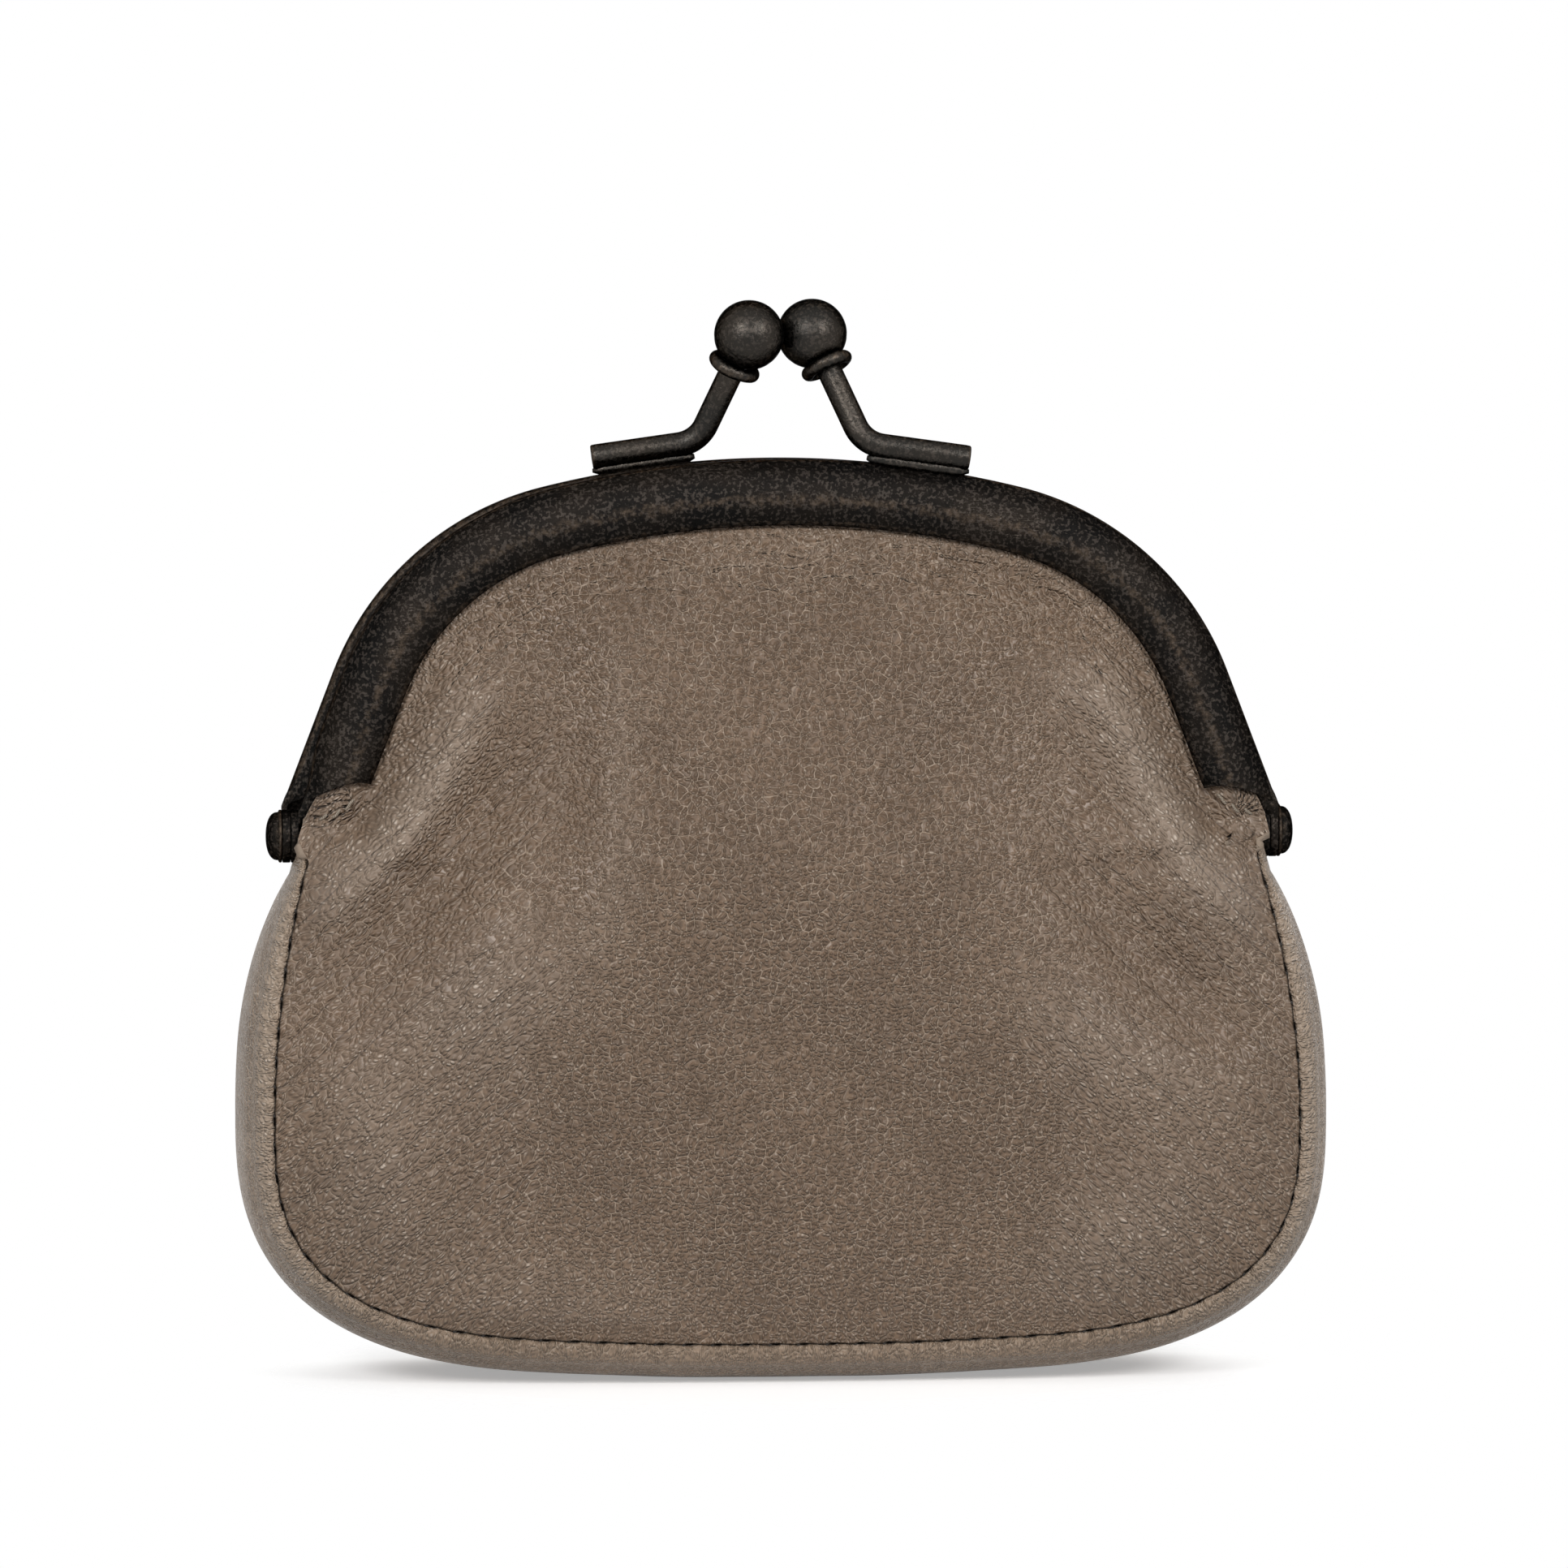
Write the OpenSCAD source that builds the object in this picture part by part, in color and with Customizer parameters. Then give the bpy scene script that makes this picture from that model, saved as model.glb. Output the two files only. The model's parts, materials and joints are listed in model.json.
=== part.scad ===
// Kiss lock frame purse: a gusseted leather coin purse on an arched metal frame in two halves.
// Millimetres. X runs across the frame, Y from front to back and Z up; the origin is the middle of the base.
// The rear half is the front half turned half way round Z, as both come from one stamping.

/* [Frame] */
// Height of the hinge pins above the base
hinge_h = 55; // [48:0.5:62]
// Rise of the crown's top above the hinge pins
crown_rise = 38.2; // [36:0.1:42]
// Outer radius of the crown
crown_r = 99; // [85:1:120]
// Angle from the middle of the crown to the start of a shoulder
crown_half = 14; // [12:0.5:16]
// Outer radius of the shoulders
shoulder_r = 30.5; // [28:0.5:34]
// Tilt of the legs from upright
leg_tilt = 21; // [17:0.5:24]
// Width of the channel, seen from the front
band_w = 6.5; // [6:0.1:7.5]
// Depth of one channel, from the meeting plane to its rounded face
channel_d = 4.15; // [3.9:0.05:5]
// Radius of the channel's rounded face
face_r = 4.4; // [4.2:0.1:5.4]
// Thickness of the channel's sheet
sheet_t = 0.65; // [0.5:0.05:0.8]
// Gap between the closed halves
half_gap = 0.2; // [0.1:0.05:0.4]
// Height of the channel's outer corner above the hinge pins
end_rise = 2.9; // [2.8:0.1:4]
// Slant of the channel's cut end
end_slant = 14; // [5:1:20]
// Angle that each half swings open
open_max = 40; // [30:1:45]

/* [Hinges] */
// Thickness of a hinge tab
tab_t = 0.8; // [0.6:0.05:1]
// Radius of a tab's round end
tab_r = 2.7; // [2.3:0.1:2.8]
// Play between the two tabs of a hinge
tab_play = 0.05; // [0.03:0.01:0.1]
// Radius of a rivet's shank
shank_r = 1.05; // [0.8:0.05:1.3]
// Play between the shank and its bores
bore_play = 0.05; // [0.03:0.01:0.1]
// Radius of a rivet's domed head
dome_r = 2.7; // [2.4:0.1:3]
// Height of the domed head
dome_h = 1.65; // [1.2:0.05:2]
// Radius of the closed end inside the purse
clinch_r = 1.8; // [1.4:0.1:2]
// Thickness of the closed end
clinch_t = 0.45; // [0.3:0.05:0.5]

/* [Clasp] */
// Diameter of the clasp wire
wire_d = 2.54; // [2.2:0.02:2.8]
// Distance of the wire's foot from the meeting plane
foot_back = 2; // [1.7:0.1:2.6]
// Slope of the foot, outwards and down
foot_slope = 8; // [6:0.5:9]
// Where the foot ends, from the middle
foot_end = 19.1; // [17:0.1:22]
// Height of the weld under the foot
weld_h = 0.5; // [0.3:0.05:0.8]
// Distance from the weld to the elbow's bend, and to the foot's end at least
weld_clear = 0.4; // [0.2:0.1:1.5]
// Where the foot's line meets the post's line, from the middle
elbow_x = 8.3; // [7.8:0.1:9.5]
// Radius of the elbow's centre line
elbow_r = 3.5; // [2.8:0.1:4]
// Diameter of a ball
ball_d = 7.1; // [6.6:0.05:7.1]
// Distance of a ball's centre from the middle, sideways
ball_x = 3.3; // [3.3:0.05:3.8]
// Distance of a ball's centre from the meeting plane, past the other ball
ball_y = 1.4; // [1.4:0.05:1.9]
// Height of a ball's centre above the top of the crown
ball_rise = 12.6; // [11.5:0.1:14]
// Outer diameter of a collar
collar_d = 5.5; // [4.8:0.1:6]
// Thickness of a collar
collar_t = 1.3; // [1:0.05:1.5]

/* [Bag] */
// Half width of the front panel at its widest
seam_half = 51.8; // [49:0.1:54]
// Height of the widest place above the base
wide_h = 27; // [24:0.5:30]
// Height of the seam at the middle of the base
seam_low = 3; // [2.8:0.1:3.4]
// Power of the bottom corners' curve: 2 is an ellipse, more is squarer
corner_power = 3; // [2.6:0.1:3.4]
// Half depth of the bag at the seam's top end
top_half_d = 4.8; // [4.4:0.1:5.4]
// Half depth of the bag at the seam where it is widest
side_half_d = 12.5; // [11:0.1:14]
// Half depth of the bag at the bottom seam
base_half_d = 13.5; // [12:0.1:15]
// Half depth of the leather at the hinge pins' height, in the middle
waist_half_d = 11.5; // [10:0.1:12]
// How far the panels belly out
belly = 2.6; // [1.5:0.1:4]
// How far the gusset bulges past the seam at the sides
bulge_side = 3.8; // [3:0.1:5]
// How far the gusset bulges past the seam at the bottom
bulge_base = 3.3; // [3.2:0.1:4]
// Power of the gusset's section: 2 is round, more is squarer
gusset_power = 2.4; // [2:0.1:3]

/* [Leather and lining] */
// Thickness of the leather
leather_t = 1.1; // [0.9:0.05:1.2]
// Thickness of the leather where it is pared down for the channel
pared_t = 0.8; // [0.6:0.05:0.85]
// Thickness of the lining
lining_t = 0.3; // [0.2:0.05:0.35]
// Depth that the leather reaches into the channel
tuck = 4; // [3.4:0.1:4.2]
// Play between the leather and the channel's face
tuck_play = 0.12; // [0.1:0.01:0.2]
// Play between the leather and the lining
lining_play = 0.1; // [0.08:0.01:0.15]
// Play between the swinging and the fixed leather
visor_play = 0.65; // [0.55:0.05:0.75]
// Play between the panels and the gusset at the seam
seam_play = 0.15; // [0.1:0.01:0.25]
// Diameter of the paper cord packed into each channel
cord_d = 1.1; // [0.9:0.05:1.15]
// Diameter of the seam's thread
thread_d = 0.44; // [0.3:0.02:0.5]

/* [Hidden] */
$fn = 64;
steel = [0.15, 0.14, 0.135];
hide = [0.5, 0.45, 0.385];
hide_edge = [0.56, 0.51, 0.445];
cotton = [0.3, 0.27, 0.24];
paper = [0.79, 0.7, 0.55];
stitch = [0.24, 0.21, 0.18];
loose_stitch = [0.72, 0.67, 0.58];

crown_top = hinge_h + crown_rise;
crown_c = [0, crown_top - crown_r];
shoulder_c = crown_c + (crown_r - shoulder_r) * [sin(crown_half), cos(crown_half)];
leg_out = [cos(leg_tilt), sin(leg_tilt)];
leg_down = [sin(leg_tilt), -cos(leg_tilt)];
leg_start = shoulder_c + shoulder_r * leg_out;
end_h = hinge_h + end_rise;
back_w = half_gap / 2;
face_peak = 0.39; // share of the channel's width at which its face stands highest
face_c = [face_peak * band_w, channel_d - face_r];
tab_x = leg_edge(end_h) - tab_t / 2;
half_shift = (tab_t + tab_play) / 2;
tabs_out = tab_x + half_shift + tab_t / 2;
tabs_in = tab_x - half_shift - tab_t / 2;
tab_set = 0.05; // from the channel's outer faces to a tab's, where they join
rivet_play = 0.04; // between the tabs and a rivet's two ends

// X of a leg's outer edge at a height, or of the line that lies a distance inside it
function leg_edge(z, inside = 0) =
    leg_start[0] + (leg_start[1] - z) * tan(leg_tilt) - inside / cos(leg_tilt);

function mix(a, b, t) = a + (b - a) * t;
function clamp01(t) = max(0, min(1, t));

// Clasp, worked out for the front half: the foot's line touches the weld on the crown
foot_dir = [cos(foot_slope), 0, -sin(foot_slope)];
foot_up = [sin(foot_slope), 0, cos(foot_slope)];
foot_axis_r = crown_r + weld_h + wire_d / 2;
foot_mid = [crown_c[0], -foot_back, crown_c[1]] + foot_axis_r * foot_up;
elbow = foot_mid + (elbow_x - foot_mid[0]) / foot_dir[0] * foot_dir;
ball_c = [ball_x, ball_y, crown_top + ball_rise];
post = ball_c - elbow;
post_l = norm(post);
elbow_angle = acos(post * foot_dir / post_l);
post_lean = atan2(post[1], post * foot_up);
tangent_l = elbow_r / tan(elbow_angle / 2);
foot_l = (foot_end - elbow[0]) / foot_dir[0];
wire_play = 0.03; // between the post, the ball and the collar
collar_seat = sqrt(pow(ball_d / 2 + collar_t / 2, 2) - pow((collar_d - collar_t) / 2, 2)) + wire_play;
pocket_top = ball_d / 4; // from the ball's centre down to the closed end of its pocket
weld_along = (foot_mid[0] - elbow[0]) / foot_dir[0];
weld_l = 2 * (min(weld_along - tangent_l, foot_l - weld_along) - weld_clear);
weld_w = 0.7 * wire_d;
weld_play = 0.02; // between the weld and the crown
crown_facets = 200; // fine enough for the weld to follow the crown

// Bag outline, in X and Z
seam_drop = 2.2; // from the hinge pins down to the seam's top end
seam_top = hinge_h - seam_drop;
split_gap = 0.3; // from the hinge pins down to the fixed leather
split_h = hinge_h - split_gap;
seam_in = 0.9; // from the inner tab to the seam's top end
seam_top_half = tabs_in - seam_in;
side_steps = 8;
corner_steps = 13;

// X of the seam at a height, above the widest place
function seam_x(z) =
    seam_half - (seam_half - seam_top_half) * pow((z - wide_h) / (seam_top - wide_h), 2);

// Seam's outline from a height on the right, round the bottom, to the same height on the left
function outline(top) =
    let (right = concat(
        [for (i = [0:side_steps - 1])
            let (z = mix(top, wide_h, i / side_steps)) [seam_x(z), z]],
        [for (i = [0:corner_steps])
            let (a = 90 * i / corner_steps,
                 p = corner_power,
                 r = pow(pow(cos(a) / seam_half, p) + pow(sin(a) / (wide_h - seam_low), p), -1 / p))
            [r * cos(a), wide_h - r * sin(a)]]))
    concat(right, [for (i = [len(right) - 2:-1:0]) [-right[i][0], right[i][1]]]);

// Outward direction of an outline at one of its points
function outward(line, i) =
    let (a = line[max(i - 1, 0)],
         b = line[min(i + 1, len(line) - 1)],
         d = (b - a) / norm(b - a))
    [-d[1], d[0]];

// Half depth of the bag at the seam, at a height
function seam_depth(z) =
    z > wide_h
        ? mix(top_half_d, side_half_d, sin(90 * clamp01((seam_top - z) / (seam_top - wide_h))))
        : mix(side_half_d, base_half_d, pow((wide_h - z) / (wide_h - seam_low), 2));

// Bulge of the gusset past the seam, at a height
bulge_rise = 6; // from the widest place up to where the bulge starts to fade
bulge_full_h = wide_h + bulge_rise;
bulge_top = 0.4; // what is left of the bulge at the seam's top end
function bulge(z) =
    z > wide_h
        ? max(bulge_top, bulge_side * sin(90 * clamp01((seam_top - z) / (seam_top - bulge_full_h))))
        : mix(bulge_side, bulge_base, pow((wide_h - z) / (wide_h - seam_low), 2));

// Distance from the hinge's mid point to a circle, along a direction
function to_circle(d, c, r) =
    let (o = c - [0, hinge_h], along = d * o)
    along + sqrt(r * r - o * o + along * along);

// Distance from the hinge's mid point to the channel's mouth, at an angle from 0 to 90
mouth_crown_r = crown_r - band_w;
mouth_shoulder_r = shoulder_r - band_w;
crown_seen = let (p = crown_c + mouth_crown_r * [sin(crown_half), cos(crown_half)])
    atan2(p[1] - hinge_h, p[0]);
leg_seen = let (p = shoulder_c + mouth_shoulder_r * leg_out) atan2(p[1] - hinge_h, p[0]);
function mouth_r(a) =
    let (d = [cos(a), sin(a)])
    a > crown_seen ? to_circle(d, crown_c, mouth_crown_r)
    : a > leg_seen ? to_circle(d, shoulder_c, mouth_shoulder_r)
    : (leg_start - band_w * leg_out - [0, hinge_h]) * leg_out / (d * leg_out);

// Outward direction of the mouth's line there; below the channel it turns level
ear_angle = 5;
function mouth_out(a) =
    let (p = [0, hinge_h] + mouth_r(a) * [cos(a), sin(a)],
         n = a > crown_seen ? p - crown_c
             : a > leg_seen ? p - shoulder_c
             : let (t = leg_tilt * clamp01(a / ear_angle)) [cos(t), sin(t)])
    n / norm(n);

// Depth of the channel's inner face at a distance past the mouth, and of the leather that follows it
function face_inside(u) =
    face_c[1] + sqrt(pow(face_r - sheet_t, 2) - pow(u - face_c[0], 2));
function tucked(u) = face_inside(max(0, min(tuck, u))) - tuck_play;

// Half depth of the upper leather at a point, where h is the height above the hinge
side_fullness = 3;
crown_fullness = 1.4;
function upper_depth(x, h) =
    let (a = atan2(h, abs(x)),
         r = norm([x, h]),
         m = mouth_r(a),
         p = mix(side_fullness, crown_fullness, sin(a)))
    r < m ? mix(waist_half_d, tucked(0), pow(r / m, p)) : tucked(r - m);

// Radius, about the hinge line, that the swinging leather needs at a place x, drop below the hinge
sweep_steps = 16;
sweep_h = 15;
function sweep_at(x) =
    [for (i = [0:sweep_steps])
        let (h = sweep_h * i / sweep_steps, y = upper_depth(x, h)) [norm([y, h]), atan2(h, y)]];
function visor_depth(x, drop) =
    let (sweep = sweep_at(min(abs(x), seam_top_half)),
         angle = atan2(drop, waist_half_d),
         r = max([for (s = sweep) s[1] <= open_max - angle ? s[0] : 0]) + visor_play)
    r > drop ? sqrt(r * r - drop * drop) : 0;

// Half depth of the lower leather at a point, seen from the middle of the split line
lower_line = outline(split_h);
lower_right = [for (i = [0:side_steps + corner_steps]) lower_line[i]];
seen_seam = [for (p = lower_right) [atan2(split_h - p[1], p[0]), norm([p[0], split_h - p[1]])]];
seen_depth = [for (p = lower_right) [atan2(split_h - p[1], p[0]), seam_depth(p[1])]];
waist_lower_d = visor_depth(0, split_gap) + leather_t;
lower_fullness = 1.8;
belly_scale = 27 / 4; // makes u * u * (1 - u) reach 1 at its highest
function lower_depth(x, z) =
    let (a = atan2(split_h - z, abs(x)),
         u = min(1, norm([x, split_h - z]) / lookup(a, seen_seam)),
         s = lookup(a, seen_depth),
         plain = mix(waist_lower_d, s, pow(u, lower_fullness))
             + belly * belly_scale * u * u * (1 - u) * sin(a))
    max(plain, visor_depth(x, hinge_h - z) + leather_t);

// Faces of a thick fan: a centre, n rays and m rows, as an outer and an inner skin joined round the rim
function fan_faces(n, m, flip) =
    let (o = function(i, j) j == 0 ? 0 : 2 + i * m + j - 1,
         q = function(i, j) j == 0 ? 1 : 2 + (n + 1) * m + i * m + j - 1,
         skin = function(v) concat(
             [for (i = [0:n - 1]) [v(i, 0), v(i, 1), v(i + 1, 1)]],
             [for (i = [0:n - 1], j = [1:m - 1]) [v(i, j), v(i, j + 1), v(i + 1, j + 1)]],
             [for (i = [0:n - 1], j = [1:m - 1]) [v(i, j), v(i + 1, j + 1), v(i + 1, j)]]),
         turned = function(f) [for (t = f) [t[0], t[2], t[1]]],
         side = function(a, b, c, d) [[a, b, c], [a, c, d]],
         all = concat(
             skin(o),
             turned(skin(q)),
             [for (i = [0:n - 1]) each side(o(i + 1, m), o(i, m), q(i, m), q(i + 1, m))],
             [for (j = [0:m - 1]) each side(o(0, j + 1), o(0, j), q(0, j), q(0, j + 1))],
             [for (j = [0:m - 1]) each side(o(n, j), o(n, j + 1), q(n, j + 1), q(n, j))]))
    flip ? turned(all) : all;

// Faces of a thick strip of n by m steps, as an outer and an inner skin joined round the rim
function strip_faces(n, m) =
    let (o = function(i, j) i * (m + 1) + j,
         q = function(i, j) (n + 1 + i) * (m + 1) + j,
         skin = function(v) concat(
             [for (i = [0:n - 1], j = [0:m - 1]) [v(i, j), v(i + 1, j + 1), v(i + 1, j)]],
             [for (i = [0:n - 1], j = [0:m - 1]) [v(i, j), v(i, j + 1), v(i + 1, j + 1)]]),
         turned = function(f) [for (t = f) [t[0], t[2], t[1]]],
         side = function(a, b, c, d) [[a, b, c], [a, c, d]])
    concat(
        skin(o),
        turned(skin(q)),
        [for (i = [0:n - 1]) each side(o(i, 0), o(i + 1, 0), q(i + 1, 0), q(i, 0))],
        [for (i = [0:n - 1]) each side(o(i + 1, m), o(i, m), q(i, m), q(i + 1, m))],
        [for (j = [0:m - 1]) each side(o(0, j + 1), o(0, j), q(0, j), q(0, j + 1))],
        [for (j = [0:m - 1]) each side(o(n, j), o(n, j + 1), q(n, j + 1), q(n, j))]);

// Faces of a tube of n lengths and k sides
function tube_faces(n, k) =
    concat(
        [for (i = [0:n - 1], j = [0:k - 1])
            [i * k + j, (i + 1) * k + (j + 1) % k, (i + 1) * k + j]],
        [for (i = [0:n - 1], j = [0:k - 1])
            [i * k + j, i * k + (j + 1) % k, (i + 1) * k + (j + 1) % k]],
        [[for (j = [k - 1:-1:0]) j]],
        [[for (j = [0:k - 1]) n * k + j]]);

// Turns a piece of the front half into the same piece of the rear half
module rear() {
    rotate([0, 0, 180]) children();
}

// Stands a shape drawn in X and Z upright; its third direction then runs forward from the meeting plane
module upright() {
    rotate([90, 0, 0]) children();
}

// Stations along the outer edge of the arch, from leg end to leg end: a point and its outward direction
crown_steps = 8;
shoulder_steps = 9;
function arch_line(leg_l) =
    let (right = concat(
        [[leg_start + leg_l * leg_down, leg_out]],
        [for (i = [0:shoulder_steps - 1])
            let (a = mix(leg_tilt, 90 - crown_half, i / shoulder_steps), n = [cos(a), sin(a)])
            [shoulder_c + shoulder_r * n, n]],
        [for (i = [0:crown_steps / 2])
            let (a = 90 - mix(crown_half, 0, i / (crown_steps / 2)), n = [cos(a), sin(a)])
            [crown_c + crown_r * n, n]]))
    concat(right, [for (i = [len(right) - 2:-1:0])
        [[-right[i][0][0], right[i][0][1]], [-right[i][1][0], right[i][1][1]]]]);

// A section carried along the arch: each point is its distance from the mouth and from the meeting plane
function along_arch(line, section) =
    [for (s = line, p = section)
        let (q = s[0] - (band_w - p[0]) * s[1]) [q[0], -p[1], q[1]]];

// The channel's outer and inner faces, from the mouth at the back round to the mouth in front
function face_outside(u) = face_c[1] + sqrt(face_r * face_r - pow(u - face_c[0], 2));
face_steps = 6;
channel_outer = concat(
    [[0, back_w], [band_w, back_w]],
    [for (i = [face_steps:-1:0]) let (u = band_w * i / face_steps) [u, face_outside(u)]]);
inner_w = band_w - sheet_t;
channel_inner = concat(
    [[0, back_w + sheet_t], [inner_w, back_w + sheet_t]],
    [for (i = [face_steps:-1:0]) let (u = inner_w * i / face_steps) [u, face_inside(u)]]);

module channel() {
    line = arch_line((leg_start[1] - hinge_h) / cos(leg_tilt));
    polyhedron(
        points = concat(along_arch(line, channel_outer), along_arch(line, channel_inner)),
        faces = strip_faces(len(line) - 1, len(channel_outer) - 1));
}

module tab() {
    neck_top = end_h + 1.3; // the neck reaches up behind the channel's cut end
    neck_low = end_h - 0.7;
    neck_w = 2.2;
    neck_root = 0.5 * tab_r; // where the neck's straight side leaves the round end
    neck_waist = [-0.95 * tab_r, neck_low];
    neck_foot = [-0.8 * tab_r, hinge_h + 0.4 * tab_r];
    difference() {
        translate([tab_x - tab_t / 2, 0, 0])
            rotate([90, 0, 90])
            linear_extrude(height = tab_t)
            difference() {
                union() {
                    translate([0, hinge_h]) circle(r = tab_r);
                    polygon([
                        [-neck_w, neck_top],
                        [-back_w - tab_set, neck_top],
                        [-back_w - tab_set, hinge_h + neck_root],
                        neck_foot,
                        neck_waist
                    ]);
                }
                translate([0, hinge_h]) circle(r = shank_r + bore_play);
            }
        upright()
            translate([leg_edge(end_h, tab_set), end_h, -tab_r * 2])
            rotate([0, 0, leg_tilt])
            cube([band_w, band_w, tab_r * 4]);
    }
}

module half_frame() {
    translate([half_shift, 0, 0]) {
        difference() {
            channel();
            for (side = [0, 1])
                mirror([side, 0, 0])
                    translate([leg_edge(end_h), 0, end_h])
                    rotate([0, end_slant, 0])
                    translate([-3 * band_w, -2 * channel_d, -2 * band_w])
                    cube([4 * band_w, 4 * channel_d, 2 * band_w]);
        }
        for (side = [0, 1]) mirror([side, 0, 0]) tab();
    }
}

// A rivet on the right: a dome outside, the shank through both tabs, and its closed end inside
module rivet() {
    dome_ball_r = (dome_r * dome_r + dome_h * dome_h) / (2 * dome_h);
    translate([0, 0, hinge_h]) rotate([0, 90, 0]) {
        intersection() {
            translate([0, 0, tabs_out + rivet_play + dome_h - dome_ball_r]) sphere(r = dome_ball_r);
            translate([0, 0, tabs_out + rivet_play]) cylinder(r = dome_r * 2, h = dome_h * 2);
        }
        translate([0, 0, tabs_in - rivet_play - clinch_t / 2])
            cylinder(r = shank_r, h = tabs_out - tabs_in + 2 * rivet_play + clinch_t);
        translate([0, 0, tabs_in - rivet_play - clinch_t]) cylinder(r = clinch_r, h = clinch_t);
    }
}

// Puts a shape drawn in the wire's own plane where the front half's wire is
module in_wire_plane() {
    translate(elbow) rotate([0, foot_slope, 0]) rotate([90 - post_lean, 0, 0]) children();
}

module clasp_foot() {
    difference() {
        union() {
            in_wire_plane()
                translate([tangent_l, 0, 0]) rotate([0, 90, 0])
                cylinder(d = wire_d, h = foot_l - tangent_l);
            translate(foot_mid) rotate([0, foot_slope, 0])
                translate([-weld_l / 2, -weld_w / 2, -wire_d / 2 - weld_h])
                cube([weld_l, weld_w, wire_d / 2 + weld_h]);
        }
        translate([half_shift + crown_c[0], 0, crown_c[1]]) rotate([90, 0, 0])
            cylinder(r = crown_r + weld_play, h = 4 * foot_back, center = true, $fn = crown_facets);
    }
}

module clasp_post() {
    in_wire_plane()
        translate([tangent_l, elbow_r, 0])
        rotate([0, 0, elbow_angle - 270])
        union() {
            rotate_extrude(angle = 180 - elbow_angle)
                translate([elbow_r, 0]) circle(d = wire_d);
            translate([elbow_r, 0, 0]) rotate([90, 0, 0])
                cylinder(d = wire_d, h = post_l - tangent_l - pocket_top - wire_play);
        }
}

// Puts a shape drawn along +Z, with the ball's centre at its origin and the post below, where it belongs
module on_post() {
    in_wire_plane() rotate([0, 0, elbow_angle]) translate([post_l, 0, 0]) rotate([0, 90, 0]) children();
}

module clasp_ball() {
    on_post() difference() {
        sphere(d = ball_d);
        translate([0, 0, -ball_d]) cylinder(d = wire_d + 2 * wire_play, h = ball_d - pocket_top);
    }
}

module clasp_collar() {
    ring_r = (collar_d - collar_t) / 2;
    bore_r = wire_d / 2 + wire_play;
    web_t = 0.6 * collar_t;
    on_post() translate([0, 0, -collar_seat]) rotate_extrude() {
        translate([ring_r, 0]) circle(d = collar_t);
        translate([bore_r, -web_t / 2]) square([ring_r - bore_r, web_t]);
    }
}

// Paper cord, laid in the channel between the lining and the back wall
cord_sides = 8;
cord_play = 0.05; // between the cord and the channel's back wall
cord_short = 3; // from the channel's end to the cord's end
module half_packing_cord() {
    line = arch_line((leg_start[1] - end_h) / cos(leg_tilt) - cord_short);
    middle = [face_c[0], back_w + sheet_t + cord_play + cord_d / 2];
    section = [for (i = [0:cord_sides - 1])
        let (a = -360 * (i + 0.5) / cord_sides) middle + cord_d / 2 * [cos(a), sin(a)]];
    translate([half_shift, 0, 0])
        polyhedron(points = along_arch(line, section), faces = tube_faces(len(line) - 1, cord_sides));
}

// Rows of the upper fan: shares of the way to the channel's mouth, then steps into the channel
upper_shares = [0.2, 0.4, 0.58, 0.74, 0.88, 0.96, 1];
upper_tucks = [0.5, 1];
pare_power = 6; // how late the leather is pared down on its way to the mouth
leather_rays = 36;
lining_rays = 24;

// One skin of the upper fan, set back from the outer face by a depth outside and inside the channel
function upper_skin(rays, set_back, tucked_back) =
    [for (i = [0:rays])
        let (turn = 180 * i / rays,
             s = turn > 90 ? -1 : 1,
             a = turn > 90 ? 180 - turn : turn,
             m = mouth_r(a) * [cos(a), sin(a)],
             n = mouth_out(a))
        each concat(
            [for (u = upper_shares)
                let (p = u * m, b = mix(set_back, tucked_back, pow(u, pare_power)))
                [s * p[0], -(upper_depth(p[0], p[1]) - b), hinge_h + p[1]]],
            [for (t = upper_tucks)
                let (p = m + tuck * t * n)
                [s * p[0], -(tucked(tuck * t) - tucked_back), hinge_h + max(0, p[1])]])];

module upper_fan(rays, near, near_tucked, far, far_tucked) {
    polyhedron(
        points = concat(
            [[0, -(waist_half_d - near), hinge_h], [0, -(waist_half_d - far), hinge_h]],
            upper_skin(rays, near, near_tucked),
            upper_skin(rays, far, far_tucked)),
        faces = fan_faces(rays, len(upper_shares) + len(upper_tucks), true));
}

module half_upper_panel() {
    translate([half_shift, 0, 0]) upper_fan(leather_rays, 0, 0, leather_t, pared_t);
}

module half_upper_lining() {
    near = leather_t + lining_play;
    near_tucked = pared_t + lining_play;
    translate([half_shift, 0, 0])
        upper_fan(lining_rays, near, near_tucked, near + lining_t, near_tucked + lining_t);
}

// Rows of the lower fans, as shares of the way from the middle of their top edge to the seam
lower_shares = [0.1, 0.22, 0.36, 0.5, 0.64, 0.77, 0.89, 1];

module lower_fan(line, near, far, reach) {
    n = len(line) - 1;
    top = line[0][1];
    skin = function(b) [for (i = [0:n], u = lower_shares)
        let (x = line[i][0] * u * reach, z = top + (line[i][1] - top) * u * reach)
        [x, -(lower_depth(x, z) - b), z]];
    polyhedron(
        points = concat(
            [[0, -(lower_depth(0, top) - near), top], [0, -(lower_depth(0, top) - far), top]],
            skin(near),
            skin(far)),
        faces = fan_faces(n, len(lower_shares), false));
}

module half_lower_panel() {
    lower_fan(lower_line, 0, leather_t, 1);
}

// The lower lining ends below the leather that swings in
lining_clear = 1;
lining_drop = waist_half_d * sin(open_max) + lining_clear;
lining_reach = 0.98;
module half_lower_lining() {
    near = leather_t + lining_play;
    lower_fan(outline(hinge_h - lining_drop), near, near + lining_t, lining_reach);
}

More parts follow.
